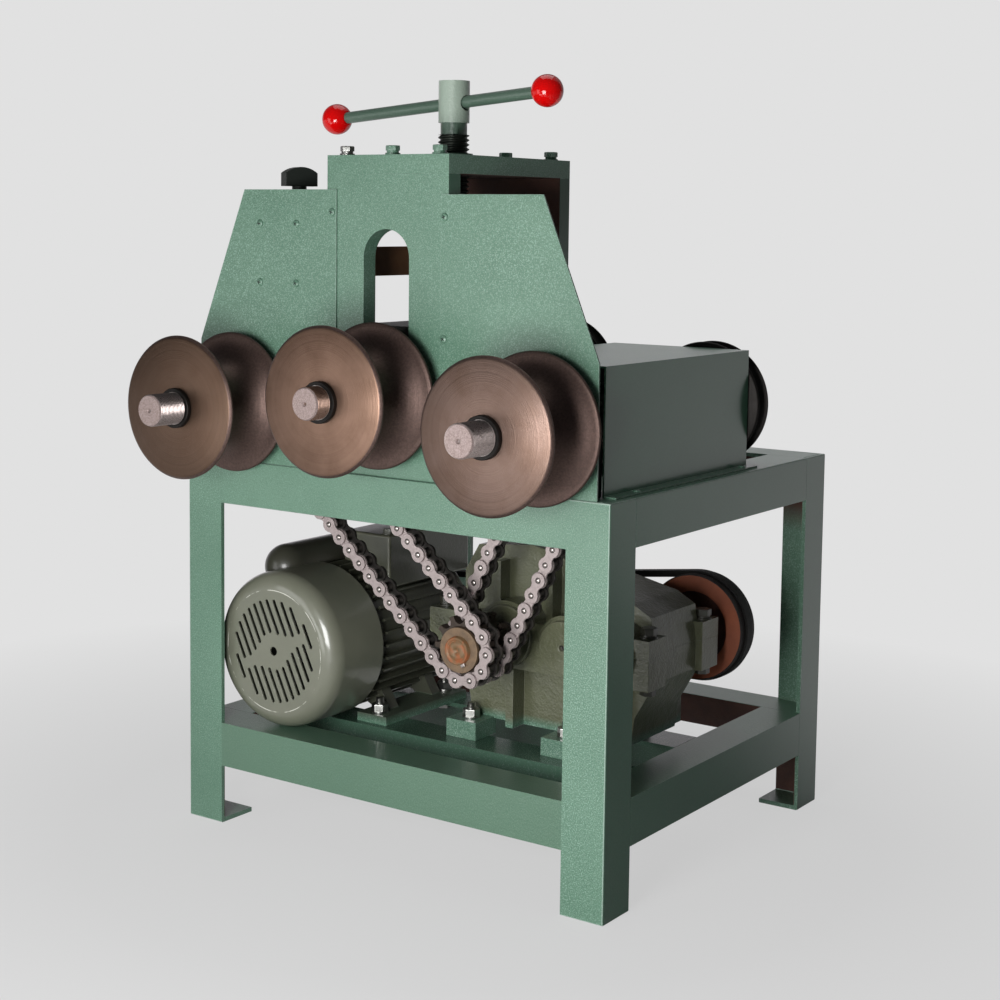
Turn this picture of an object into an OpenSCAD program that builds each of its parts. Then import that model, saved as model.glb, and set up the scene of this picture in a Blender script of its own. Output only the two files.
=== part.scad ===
// Electric tube bender: three grooved rolls on an angle-iron stand, driven by a motor,
// a V-belt, a gear reducer and two roller chains, with a hand screw that moves the middle roll.
// Millimetres, +Z up, the operator's side faces -Y, the origin is on the floor under the middle.

/* [Stand] */
// Outside width of the stand across the front
stand_w = 560; // [540:1:620]
// Outside depth of the stand
stand_d = 490; // [470:1:540]
// Height of the stand's top face above the floor
stand_h = 420; // [405:1:450]
// Leg width of the angle iron
angle_w = 50; // [46:1:54]
// Wall thickness of the angle iron
angle_t = 5; // [4:0.5:6]
// Gap left at the butt joints of the rails
weld_gap = 0.4; // [0.2:0.1:0.8]

/* [Press tower] */
// Width of the tower plates
tower_w = 160; // [150:1:180]
// Thickness of the front, rear and top plates
tower_t = 20; // [16:1:24]
// Depth of the tower from its front face to its rear face
tower_d = 227; // [210:1:240]
// Height of the tower above the stand, top plate included
tower_h = 337; // [330:1:350]
// Width of the slots that guide the sliding block
slot_w = 60; // [58:1:66]
// Height of the tie bars between the two tower plates
tie_h = 32; // [28:1:40]

/* [Rolls] */
// Distance of each side shaft from the stand's side face
roll_inset = 80; // [70:1:85]
// Height of the side shafts over the stand's top face
roll_h = 67.5; // [62:0.5:72]
// Height of the middle shaft over the side shafts, as photographed
mid_rise = 19.5; // [10:0.5:25]
// Diameter of the front rolls over their rims
die_d = 154; // [140:1:160]
// Diameter of the tube that the front rolls take
tube_d = 77; // [70:1:78]
// Width of the flat rim on each side of a groove
die_rim = 6; // [4:0.5:8]
// Diameter of the rear rolls over their rims
rear_die_d = 138; // [120:1:144]
// Diameter of the tube that the rear rolls take
rear_tube_d = 20; // [16:1:25]
// Diameter of the roll shafts in their bearings
shaft_d = 40; // [36:1:44]
// Diameter of the threaded shaft ends
shaft_end_d = 34; // [30:1:35]
// How far the shaft ends stand out in front of the stand
reach = 140; // [130:1:150]
// How much shorter the middle shaft's front end is
mid_short = 16; // [0:1:18]
// Radial clearance of a turning shaft in its bore
run_fit = 0.05; // [0.02:0.01:0.09]

/* [Chains] */
// Pitch of the roller chain
chain_p = 19.05; // [19.05:0.01:19.1]
// Diameter of the chain's rollers
chain_roller = 11.9; // [11.5:0.1:12.1]
// Teeth on every sprocket
teeth = 11; // [11:2:11]
// Links in the front chain, which drives the left roll
links_front = 50; // [50:2:50]
// Links in the rear chain, which drives the right roll
links_rear = 40; // [40:2:40]
// Distance of the front chain behind the stand's front face
chain_y1 = 46; // [45.5:0.5:48]
// Distance of the rear chain behind the front chain
chain_dy = 32; // [30:1:36]

/* [Drive] */
// Height of the motor's axis over its feet
motor_h = 90; // [90:1:92]
// Outer radius of the motor's fan cover
fan_cover_r = 88.5; // [84:0.5:89]
// Distance between the motor's two rows of foot bolts
motor_foot_x = 140; // [136:1:144]
// Distance along the shaft between the motor's foot bolts
motor_foot_y = 125; // [115:1:130]
// Diameter of the motor's shaft
motor_shaft_d = 24; // [20:1:26]
// Outside radius of the belt on the reducer's pulley
belt_r1 = 63; // [60:0.5:65]
// Outside radius of the belt on the motor's pulley
belt_r2 = 44; // [40:0.5:48]
// Diameter of the reducer's output shaft
out_d = 30; // [26:1:34]
// Height of the reducer's output shaft over its feet
out_h = 123.1; // [120:0.1:130]

/* [Screw and handle] */
// Diameter of the press screw
screw_d = 34; // [32:1:36]
// Diameter of the cross bar
bar_d = 13; // [12:0.5:14]
// Distance between the centres of the ball knobs
bar_len = 286; // [260:1:300]
// Diameter of the ball knobs
ball_d = 34.6; // [32:0.2:36]
// How far the loose bar hangs to the left
bar_shift = 22; // [0:1:40]
// Angle at which the bar rests in its hole
bar_tilt = 4.7; // [0:0.1:5]

/* [Hidden] */
$fn = 64;

// The stand's front face lies at y = 0 in the modules and the whole is then centred in depth
y_mid = (stand_d - reach) / 2;
half_w = stand_w / 2;
roll_x = half_w - roll_inset;
tower_y = angle_t;
tower_rear = tower_y + tower_d;
tower_top = stand_h + tower_h;
plate_top = tower_top - tower_t;
roll_z = stand_h + roll_h;
mid_z = roll_z + mid_rise;
sheet = 2;

// Rolls
die_w = tube_d + 2 * die_rim;
die_y1 = -10;
die_y0 = die_y1 - die_w;
nut_t = 6;
nut_seat_r = shaft_end_d / 2 + 0.5;
shoulder_r = shaft_d / 2 + 6;
guard_y1 = 330;
rear_die_w = rear_tube_d + 6;
rear_die_y0 = guard_y1 + 3;
rear_die_y1 = rear_die_y0 + rear_die_w;
rear_tip = rear_die_y1 + 26;
hous_t = 24;
hous_y0 = tower_y + 1;
hous_y1 = tower_rear - hous_t;
bearing_r = shaft_d / 2 + 20;
bearing_w = 18;
hous_r = bearing_r + 12;

// Chains: equal sprockets, so both strands are parallel to the line of centres
chain_r = chain_p / (2 * sin(180 / teeth));
dist_front = chain_p * (links_front - teeth) / 2;
dist_rear = chain_p * (links_rear - teeth) / 2;
drive_dx = (pow(dist_front, 2) - pow(dist_rear, 2) + pow(2 * roll_x, 2)) / (4 * roll_x);
drive_x = drive_dx - roll_x;
drive_z = roll_z - sqrt(pow(dist_front, 2) - pow(drive_dx, 2));
// The lower rails carry the reducer at the height that the two chains give it
low_rail_z = drive_z - out_h;
chain_y2 = chain_y1 + chain_dy;
plate_r = 9;
plate_t = 2.4;
chain_in = 6.3;
chain_half = chain_in + 2 * plate_t + 1.5;
tooth_w = 11.6;
tooth_gap = 0.6;
tooth_h = 2;
tooth_cut = 9;
tooth_flare = 11;
hub_r = chain_r - plate_r - 0.5;
front_dir = [(drive_x + roll_x) / dist_front, (drive_z - roll_z) / dist_front];
rear_dir = [(drive_x - roll_x) / dist_rear, (drive_z - roll_z) / dist_rear];
front_ang = atan2(front_dir[1], front_dir[0]);
rear_ang = atan2(rear_dir[1], rear_dir[0]);
front_n = [-front_dir[1], front_dir[0]];

// Reducer: two gear pairs on one line from the output to the input shaft
m1 = 1;
z1 = 15;
z2 = 101;
m2 = 1.25;
z3 = 15;
z4 = 104;
a1 = m1 * (z1 + z2) / 2;
a2 = m2 * (z3 + z4) / 2;
gear_ang = -2.2;
box_y0 = 152;
box_y1 = 248;
wall = 8;
lay_x = drive_x + a2 * cos(gear_ang);
lay_z = drive_z + a2 * sin(gear_ang);
in_x = drive_x + (a1 + a2) * cos(gear_ang);
in_z = drive_z + (a1 + a2) * sin(gear_ang);
gear1_y = [box_y0 + wall + 3, box_y0 + wall + 17];
gear2_y = [gear1_y[1] + 13, box_y1 - wall - 14];
pinion_over = 2;
lay_d = 22;
in_d = 20;
split_z = drive_z - 2;
boss_y0 = 124;
boss_y1 = 276;
boss_x0 = drive_x - 105;
boss_x1 = drive_x + 178;
boss_up = 20;
boss_down = 34;
red_bolt_x = [drive_x - 93, drive_x + 168];
red_bolt_y = [boss_y0 + 17, boss_y1 - 17];
pad_h = 18;
pad_x = [drive_x - 75, drive_x + 51];
pad_w = 40;
pad_y = [116, 244];
pad_l = 40;
box_x0 = drive_x - 76;
box_x1 = drive_x + 170;

// Motor
motor_x = -half_w + 116;
motor_z = low_rail_z + motor_h;
fan_y0 = 14;
fan_y1 = 100;
front_rim_y1 = fan_y1 + 4;
stator_y0 = 96;
stator_y1 = 272;
motor_y = 118;
shield_y1 = 299;
motor_end = shield_y1 + 50;
stator_r = 78;
fin_r = 86;
bore_r = 40;
seat_gap = 0.05;
box_side = 2;
vents = 12;
vent_w = 4.4;
vent_p = 9.95;
vent_r = 58.5;
vent_hub = 22.7;
vent_fall = 0.53;
vent_gap = 5.8;
vent_side = 29;
vent_ang = 25.8;
belt_y = 320.5;
belt_w = 13;
belt_t = 8;
belt_tan = tan(20);
belt_play = 0.4;
rim_in = 22;
rim_low = 3;
belt_groove = 12;
web_t = 10;
pulley_w1 = 33;
pulley_w2 = 29;
pulley_hub1 = 22;
pulley_hub2 = 21;
motor_foot_t = 10;
motor_foot_half = 21;
foot_web_in = 42;
foot_web_up = 52;
foot_web_low = 70;
foot_web_t = 16;
foot_r = 5;
foot_hole = 5.3;
bearer_lip = 24;
bearer_tail = 16;

// Screw
screw_y = tower_y + tower_d / 2 + 3.5;
slide_top = mid_z + 71;
slide_low = mid_z - 45;
slide_w = 116;
boss_r = slot_w / 2 - 1;
neck_z = tower_top + 25;
head_z = neck_z + 13;
head_h = 45;
bar_z = head_z + 21;
bar_hole = bar_d / 2 / cos(bar_tilt) + screw_d / 2 * tan(bar_tilt) + 0.5;
lower_limit = 27;
upper_limit = 140;
slot_low = mid_z - lower_limit - boss_r - 4;
slot_high = mid_z + upper_limit + 3;

// Covers and switch
cover_y = tower_y - sheet;
cover_x = half_w - 17;
cover_break = stand_h + 134;
cover_top = stand_h + 299;
switch_x = -cover_x + 115;
switch_y = 38;
switch_z = [stand_h + 180, stand_h + 292];
knob_w = 37;
knob_t = 16;
knob_h = 21;
knob_arch = 29;
knob_ang = 62;
guard_x = half_w - 23;
guard_in = tower_w / 2 + 3;
guard_y0 = 26;
guard_lip = 26;
guard_foot = 14;
guard_raise = 6;
guard_top = stand_h + 130;
window_r = shoulder_r + 4;
screw_r = 2;
screw_play = 0.3;
plate_screws = [
  [-tower_w / 2 + 8, tower_top - 60],
  [tower_w / 2 - 3.5, tower_top - 64],
  [tower_w / 2 - 3.5, tower_top - 188]
];
switch_screws = [
  [switch_x - 26, stand_h + 264],
  [switch_x + 26, stand_h + 264],
  [switch_x - 26, stand_h + 200],
  [switch_x + 26, stand_h + 200]
];
guard_screws_y = [guard_y0 + 51, guard_y1 - 24];
washer_t = 1.8;
spring_t = 2.4;
top_bolt_x = [-61, 0, 61];
top_bolt_y = [tower_y + tower_t / 2, tower_rear - tower_t / 2];

// Y counted from the stand's front face
module placed() {
  translate([0, -y_mid, 0]) children();
}

// A box between two corners
module box(x, y, z) {
  translate([x[0], y[0], z[0]]) cube([x[1] - x[0], y[1] - y[0], z[1] - z[0]]);
}

// A round bar along Y
module rod(x, z, y, r) {
  translate([x, y[0], z]) rotate([-90, 0, 0]) cylinder(h = y[1] - y[0], r = r);
}

// A flat outline in X and Z, given a thickness along Y
module slab(y) {
  translate([0, y[1], 0]) rotate([90, 0, 0]) linear_extrude(y[1] - y[0]) children();
}

// A turned outline: radius along the first axis, depth along the second
module turned(x, z) {
  translate([x, 0, z]) rotate([-90, 0, 0]) rotate_extrude() children();
}

// Legs: angle iron with a foot plate inside its corner
module leg() {
  box([0, angle_w], [0, angle_t], [0, stand_h]);
  box([0, angle_t], [angle_t, angle_w], [0, stand_h]);
  box([angle_t, angle_w], [angle_t, angle_w], [0, angle_t]);
}

module leg_front_left() {
  color("seagreen") placed() translate([-half_w, 0, 0]) leg();
}

module leg_front_right() {
  color("seagreen") placed() translate([half_w, 0, 0]) mirror([1, 0, 0]) leg();
}

module leg_rear_left() {
  color("seagreen") placed() translate([-half_w, stand_d, 0]) mirror([0, 1, 0]) leg();
}

module leg_rear_right() {
  color("seagreen") placed() translate([half_w, stand_d, 0]) mirror([0, 1, 0]) mirror([1, 0, 0]) leg();
}

// A rail across the stand, with its flange on top and pointing inwards
module cross_rail(top) {
  box([-half_w + angle_w, half_w - angle_w], [0, angle_t], [top - angle_w, top]);
  box([-half_w + angle_t, half_w - angle_t], [angle_t, angle_w], [top - angle_t, top]);
}

// A rail along the left side of the stand
module side_rail(top) {
  y = [angle_w + weld_gap, stand_d - angle_w - weld_gap];
  box([-half_w, -half_w + angle_t], y, [top - angle_w, top]);
  box([-half_w + angle_t, -half_w + angle_w], y, [top - angle_t, top]);
}

// Where a strand of the front chain crosses the top rail's flange
module chain_notch(side) {
  start = [-roll_x + side * chain_r * front_n[0], roll_z + side * chain_r * front_n[1]];
  run = (stand_h - angle_t / 2 - start[1]) / front_dir[1];
  x = start[0] + run * front_dir[0];
  half = (plate_r + 3) / abs(front_dir[1]) + angle_t / 2 * front_dir[0] / abs(front_dir[1]);
  box([x - half, x + half], [chain_y1 - chain_half - 3, angle_w + 1], [stand_h - angle_t - 1, stand_h + 1]);
}

module top_rails() {
  color("seagreen") placed() {
    difference() {
      cross_rail(stand_h);
      chain_notch(1);
      chain_notch(-1);
    }
    translate([0, stand_d, 0]) mirror([0, 1, 0]) cross_rail(stand_h);
    side_rail(stand_h);
    mirror([1, 0, 0]) side_rail(stand_h);
  }
}

module foot_holes(x) {
  for (y = [motor_y, motor_y + motor_foot_y])
    translate([x, y, low_rail_z - 20]) cylinder(h = 60, r = foot_hole);
}

module low_rails() {
  color("seagreen") placed() {
    cross_rail(low_rail_z);
    translate([0, stand_d, 0]) mirror([0, 1, 0]) cross_rail(low_rail_z);
    difference() {
      side_rail(low_rail_z);
      foot_holes(motor_x - motor_foot_x / 2);
    }
    mirror([1, 0, 0]) side_rail(low_rail_z);
  }
}

// Bearers across the stand that carry the motor and the reducer, with their webs outward
bearer_y = [motor_y - bearer_lip, pad_y[1] + pad_l / 2 + bearer_tail];
module bearer() {
  x = [-half_w + angle_w + weld_gap, half_w - angle_w - weld_gap];
  translate([x[0], 0, low_rail_z]) rotate([90, 0, 90]) linear_extrude(x[1] - x[0])
    polygon([
      [0, 0], [angle_w, 0], [angle_w, -angle_t], [angle_t, -angle_t], [angle_t, -angle_w], [0, -angle_w]
    ]);
}

module pad_holes(z, h) {
  for (x = pad_x)
    for (y = pad_y)
      translate([x + pad_w / 2, y + pad_l / 2, z]) cylinder(h = h, r = foot_hole);
}

module base_bars() {
  color("darkslategray") placed() difference() {
    union() {
      translate([0, bearer_y[0], 0]) bearer();
      translate([0, bearer_y[1], 0]) mirror([0, 1, 0]) bearer();
    }
    foot_holes(motor_x - motor_foot_x / 2);
    foot_holes(motor_x + motor_foot_x / 2);
    pad_holes(low_rail_z - 20, 60);
  }
}

// Beam under the tower's rear plate and the rear bearings
module rear_beam() {
  y = [tower_rear - 32, tower_rear + 18];
  x = half_w - angle_w - weld_gap;
  color("darkslategray") placed() {
    box([-x, x], y, [stand_h - angle_t, stand_h]);
    box(
      [-half_w + angle_t, half_w - angle_t], [y[1] - angle_t, y[1]],
      [stand_h - angle_w, stand_h - angle_t]
    );
  }
}

// Tower plates with the slot for the sliding block
module tower_plate(y) {
  difference() {
    slab(y) difference() {
      translate([-tower_w / 2, stand_h]) square([tower_w, plate_top - stand_h]);
      translate([-slot_w / 2, slot_low]) square([slot_w, slot_high - slot_low]);
      translate([0, slot_high]) circle(r = slot_w / 2);
    }
    for (x = top_bolt_x)
      translate([x, (y[0] + y[1]) / 2, plate_top - 25]) cylinder(h = 30, r = 4.3);
  }
}

module tower_front_plate() {
  color("seagreen") placed() difference() {
    tower_plate([tower_y, tower_y + tower_t]);
    for (p = plate_screws)
      rod(p[0], p[1], [tower_y - 1, tower_y + 12], screw_r + screw_play);
  }
}

module tower_rear_plate() {
  color("darkslategray") placed() tower_plate([tower_rear - tower_t, tower_rear]);
}

// Top plate with the threaded boss of the press screw
module tower_top_plate() {
  color("seagreen") placed() difference() {
    union() {
      box([-tower_w / 2, tower_w / 2], [tower_y, tower_rear], [plate_top, tower_top]);
      translate([0, screw_y, tower_top]) cylinder(h = 5, r = screw_d / 2 + 4);
    }
    translate([0, screw_y, plate_top - 1]) cylinder(h = tower_t + 10, r = screw_d / 2 + run_fit);
    for (x = top_bolt_x)
      for (y = top_bolt_y)
        translate([x, y, plate_top - 1]) cylinder(h = tower_t + 2, r = 4.3);
  }
}

module tie_bars() {
  color("saddlebrown") placed() for (x = [-tower_w / 2, tower_w / 2 - 8])
    box([x, x + 8], [tower_y + tower_t, tower_rear - tower_t], [plate_top - 109, plate_top - 109 + tie_h]);
}

// A hex bolt with a plain and a spring washer, standing on z = 0, with a shank below
module hex_bolt(r, af, head, shank) {
  translate([0, 0, -shank]) cylinder(h = shank + 0.1, r = r);
  cylinder(h = washer_t, r = af * 0.62);
  cylinder(h = washer_t + spring_t, r = af / 2);
  translate([0, 0, washer_t + spring_t]) linear_extrude(head) circle(d = af / cos(30), $fn = 6);
}

module tower_bolts() {
  color("silver") placed() for (x = top_bolt_x)
    for (y = top_bolt_y)
      translate([x, y, tower_top]) hex_bolt(4, 13, 5.5, tower_t + 22);
}

// Sheet covers in front of the side bearings
module shaft_window(x) {
  translate([x, roll_z]) circle(r = window_r);
}

module screw_windows() {
  for (p = concat(plate_screws, switch_screws))
    translate(p) circle(r = screw_r + screw_play);
}

module cover_left() {
  color("seagreen") placed() slab([cover_y, cover_y + sheet]) difference() {
    polygon([
      [-cover_x, stand_h], [-cover_x, cover_break], [-cover_x + 66, cover_top + 2],
      [-tower_w / 2 + 14, cover_top + 2], [-tower_w / 2 + 14, stand_h]
    ]);
    shaft_window(-roll_x);
    screw_windows();
  }
}

module cover_right() {
  color("seagreen") placed() slab([cover_y, cover_y + sheet]) difference() {
    polygon([
      [tower_w / 2 - 8, stand_h], [tower_w / 2 - 8, cover_top - 3], [cover_x - 67, cover_top - 3],
      [cover_x, cover_break], [cover_x, stand_h]
    ]);
    shaft_window(roll_x);
    screw_windows();
  }
}

// Folded sheet guard over a side shaft: top, outer wall with a foot flange, inner lip and rear wall
module guard() {
  y = [guard_y0, guard_y1];
  in = [stand_h, guard_top - sheet];
  box([guard_in, guard_x], y, [guard_top - sheet, guard_top]);
  box([guard_x - sheet, guard_x], y, in);
  box([guard_in, guard_in + sheet], y, [guard_top - guard_lip, guard_top - sheet]);
  difference() {
    box([guard_x, guard_x + guard_foot], y, [stand_h, stand_h + sheet]);
    for (s = guard_screws_y)
      translate([guard_x + guard_foot / 2, s, stand_h - 1]) cylinder(h = sheet + 2, r = screw_r + screw_play);
  }
  slab([guard_y1 - sheet, guard_y1]) difference() {
    translate([guard_in + sheet, stand_h + guard_raise])
      square([guard_x - guard_in - 2 * sheet, guard_top - stand_h - guard_raise - sheet]);
    shaft_window(roll_x);
    translate([roll_x - window_r, stand_h]) square([2 * window_r, roll_h]);
  }
}

module guard_right() {
  color("darkslategray") placed() guard();
}

module guard_left() {
  color("darkslategray") placed() mirror([1, 0, 0]) guard();
}

// A pan-head screw along Y whose head stands in front of y = 0
module pan_screw(shank) {
  rotate([-90, 0, 0]) cylinder(h = shank, r = screw_r);
  rotate([90, 0, 0]) cylinder(h = 2.2, r1 = 4.6, r2 = 3.6);
}

module cover_screws() {
  color("silver") placed() {
    for (p = plate_screws)
      translate([p[0], cover_y, p[1]]) pan_screw(12);
    for (p = switch_screws)
      translate([p[0], cover_y, p[1]]) pan_screw(10);
    for (s = [-1, 1])
      for (y = guard_screws_y)
        translate([s * (guard_x + guard_foot / 2), y, stand_h + sheet]) rotate([-90, 0, 0]) pan_screw(sheet);
  }
}

// Drum switch behind the left cover
module switch_body() {
  color("dimgray") placed() difference() {
    union() {
      box([switch_x - 38, switch_x + 38], [tower_y, tower_y + 76], switch_z);
      translate([switch_x, switch_y, switch_z[1]]) cylinder(h = 4, r = 15);
    }
    translate([switch_x, switch_y, switch_z[1] - 24]) cylinder(h = 30, r = 5 + run_fit);
    for (p = switch_screws)
      rod(p[0], p[1], [tower_y - 1, tower_y + 10], screw_r + screw_play);
  }
}

// Bar knob with an arched top, on a round stem
module switch_knob() {
  z = switch_z[1];
  color("darkgreen") placed() translate([switch_x, switch_y, 0]) {
    translate([0, 0, z - 22]) cylinder(h = 30, r = 5);
    translate([0, 0, z + 5]) cylinder(h = 9, r = 8);
    translate([0, 0, z + 13]) rotate([90, 0, knob_ang]) linear_extrude(knob_t, center = true)
      intersection() {
        translate([0, knob_h - knob_arch]) circle(r = knob_arch);
        translate([-knob_w / 2, 0]) square([knob_w, knob_h]);
      }
  }
}

// Bearing housings of the side shafts
module housing(x, y) {
  slab([y, y + hous_t]) difference() {
    union() {
      translate([x - hous_r, stand_h]) square([2 * hous_r, roll_h]);
      translate([x, roll_z]) circle(r = hous_r);
    }
    translate([x, roll_z]) circle(r = bearing_r);
  }
}

module housings_left() {
  color("dimgray") placed() {
    housing(-roll_x, hous_y0);
    housing(-roll_x, hous_y1);
  }
}

module housings_right() {
  color("dimgray") placed() {
    housing(roll_x, hous_y0);
    housing(roll_x, hous_y1);
  }
}

module roll_bearings() {
  color("silver") placed() for (x = [-roll_x, roll_x])
    for (y = [hous_y0 + 3, hous_y1 + 3])
      slab([y, y + bearing_w]) translate([x, roll_z]) difference() {
        circle(r = bearing_r);
        circle(r = shaft_d / 2 + run_fit);
      }
}

// A roll shaft: threaded ends, seats for both rolls and two shoulders
module roll_shaft(x, z, front_end, rear_start, out) {
  difference() {
    union() {
      rod(x, z, [-out, die_y0 - nut_t], shaft_end_d / 2);
      rod(x, z, [die_y0 - nut_t, die_y0], nut_seat_r);
      rod(x, z, [die_y0, rear_die_y1], shaft_d / 2);
      rod(x, z, [die_y1, front_end], shoulder_r);
      rod(x, z, [rear_start, rear_die_y0], shoulder_r);
      rod(x, z, [rear_die_y1, rear_die_y1 + nut_t], nut_seat_r);
      rod(x, z, [rear_die_y1 + nut_t, rear_tip], shaft_end_d / 2);
    }
    translate([x, -out - 0.1, z]) rotate([-90, 0, 0]) cylinder(h = 4, r1 = 3.2, r2 = 0.2);
    translate([x, rear_tip + 0.1, z]) rotate([90, 0, 0]) cylinder(h = 4, r1 = 3.2, r2 = 0.2);
  }
}

// A grooved roll
module die(x, z, y, w, r, groove) {
  turned(x, z) difference() {
    translate([shaft_d / 2, y]) square([r - shaft_d / 2, w]);
    translate([r, y + w / 2]) circle(r = groove);
  }
}

module front_die(x, z) {
  die(x, z, die_y0, die_w, die_d / 2, tube_d / 2);
}

module rear_die(x, z) {
  die(x, z, rear_die_y0, rear_die_w, rear_die_d / 2, rear_tube_d / 2);
}

// Ring nuts that hold the rolls on the shaft ends
module ring_nuts(x, z) {
  for (y = [die_y0 - nut_t, rear_die_y1])
    slab([y, y + nut_t]) translate([x, z]) difference() {
      circle(r = nut_seat_r + 4);
      circle(r = nut_seat_r);
    }
}

// Sprocket outline whose rollers sit at the given angles
module tooth_ring(phase) {
  difference() {
    circle(r = chain_r + tooth_h);
    for (k = [0 : teeth - 1])
      rotate(phase + k * 360 / teeth) {
        translate([chain_r, 0]) circle(r = chain_roller / 2 + tooth_gap);
        translate([chain_r, 0]) polygon([
          [0, -chain_roller / 2 - tooth_gap], [tooth_cut, -tooth_flare],
          [tooth_cut, tooth_flare], [0, chain_roller / 2 + tooth_gap]
        ]);
      }
  }
}

module sprocket(x, z, y, phase, bore, hub) {
  slab([y - tooth_w / 2, y + tooth_w / 2]) translate([x, z]) difference() {
    tooth_ring(phase);
    circle(r = bore);
  }
  slab(hub) translate([x, z]) difference() {
    circle(r = hub_r);
    circle(r = bore);
  }
}

half_tooth = 180 / teeth;

module left_shaft() {
  color("silver") placed() roll_shaft(-roll_x, roll_z, tower_y, tower_rear + 3, reach);
}

module left_die() {
  color("sienna") placed() front_die(-roll_x, roll_z);
}

module left_rear_die() {
  color("black") placed() rear_die(-roll_x, roll_z);
}

module left_sprocket() {
  color("gray") placed()
    sprocket(-roll_x, roll_z, chain_y1, front_ang + 90, shaft_d / 2, [chain_y1 - 13, chain_y1 + 22]);
}

module left_nuts() {
  color("dimgray") placed() ring_nuts(-roll_x, roll_z);
}

module right_shaft() {
  color("silver") placed() roll_shaft(roll_x, roll_z, tower_y, tower_rear + 3, reach);
}

module right_die() {
  color("sienna") placed() front_die(roll_x, roll_z);
}

module right_rear_die() {
  color("black") placed() rear_die(roll_x, roll_z);
}

module right_sprocket() {
  color("gray") placed()
    sprocket(roll_x, roll_z, chain_y2, rear_ang + 90, shaft_d / 2, [chain_y2 - 20, chain_y2 + 20]);
}

module right_nuts() {
  color("dimgray") placed() ring_nuts(roll_x, roll_z);
}

module middle_shaft() {
  color("silver") placed() roll_shaft(0, mid_z, tower_y - 1, tower_rear + 1, reach - mid_short);
}

module middle_die() {
  color("sienna") placed() front_die(0, mid_z);
}

module middle_rear_die() {
  color("black") placed() rear_die(0, mid_z);
}

module middle_nuts() {
  color("dimgray") placed() ring_nuts(0, mid_z);
}

// Block that slides between the tower plates and carries the middle shaft
module slider() {
  color("dimgray") placed() difference() {
    union() {
      box(
        [-slide_w / 2, slide_w / 2], [tower_y + tower_t + 2, tower_rear - tower_t - 2],
        [slide_low, slide_top]
      );
      rod(0, mid_z, [tower_y, tower_rear], boss_r);
    }
    rod(0, mid_z, [tower_y - 1, tower_rear + 1], shaft_d / 2 + run_fit);
    translate([0, screw_y, slide_top - 32]) cylinder(h = 40, r = screw_d / 2 - 4 + run_fit);
  }
}

// Press screw: journal in the block, thread, neck and head
module press_screw() {
  color("seagreen") placed() translate([0, screw_y, 0]) difference() {
    union() {
      translate([0, 0, slide_top - 30]) cylinder(h = 32, r = screw_d / 2 - 4);
      translate([0, 0, slide_top + 0.5]) cylinder(h = neck_z - slide_top - 0.5, r = screw_d / 2);
      translate([0, 0, neck_z]) cylinder(h = head_z - neck_z, r = screw_d / 2 - 2.5);
      translate([0, 0, head_z]) cylinder(h = head_h, r = screw_d / 2);
    }
    translate([-screw_d, 0, bar_z]) rotate([0, 90, 0]) cylinder(h = 2 * screw_d, r = bar_hole);
  }
}

// Loose cross bar, resting tilted in its hole
module on_bar() {
  placed() translate([0, screw_y, bar_z]) rotate([0, -bar_tilt, 0]) translate([-bar_shift, 0, 0]) children();
}

module cross_bar() {
  color("seagreen") on_bar()
    translate([-bar_len / 2 - 6, 0, 0]) rotate([0, 90, 0]) cylinder(h = bar_len + 12, r = bar_d / 2);
}

module ball_knobs() {
  color("red") on_bar() for (s = [-1, 1])
    difference() {
      translate([s * bar_len / 2, 0, 0]) sphere(d = ball_d);
      translate([-bar_len / 2 - 6, 0, 0]) rotate([0, 90, 0]) cylinder(h = bar_len + 12, r = bar_d / 2);
    }
}

// Motor: ribbed stator with cast feet and a front bearing wall
module motor_foot() {
  h = motor_foot_x / 2;
  top = -motor_h + motor_foot_t;
  in = h - foot_web_in;
  box(
    [h - motor_foot_half, h + motor_foot_half], [motor_y - 15, motor_y + motor_foot_y + 15],
    [-motor_h, top]
  );
  for (y = [motor_y + 14, motor_y + motor_foot_y - 30])
    slab([y, y + foot_web_t]) polygon([
      [in, -foot_web_up], [h - 12, -foot_web_up - 2], [h + 4, top], [h - motor_foot_half, top],
      [in, -foot_web_low]
    ]);
}

module motor_body() {
  color("darkolivegreen") placed() translate([motor_x, 0, motor_z]) difference() {
    union() {
      rod(0, 0, [stator_y0, stator_y1], stator_r);
      rod(0, 0, [stator_y0, front_rim_y1], fan_cover_r - sheet);
      for (k = [0 : 35])
        rotate([0, k * 10, 0])
          box([stator_r - 3, fin_r], [stator_y0 + 16, stator_y1 - 16], [-1.4, 1.4]);
      motor_foot();
      mirror([1, 0, 0]) motor_foot();
    }
    rod(0, 0, [stator_y0 + 14, stator_y1 + 1], bore_r);
    rod(0, 0, [stator_y0 - 1, stator_y0 + 20], motor_shaft_d / 2 - 2 + run_fit);
    for (s = [-1, 1])
      translate([s * motor_foot_x / 2, 0, -motor_h - 5])
        for (y = [motor_y, motor_y + motor_foot_y])
          translate([0, y, 0]) cylinder(h = 40, r = foot_hole);
  }
}

// Pressed fan cover with two groups of slanted slots round its middle, and one more slot at each side
module vent(length) {
  translate([0, vent_w / 2]) circle(d = vent_w, $fn = 24);
  translate([-vent_w / 2, vent_w / 2]) square([vent_w, length - vent_w]);
  translate([0, length - vent_w / 2]) circle(d = vent_w, $fn = 24);
}

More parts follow.
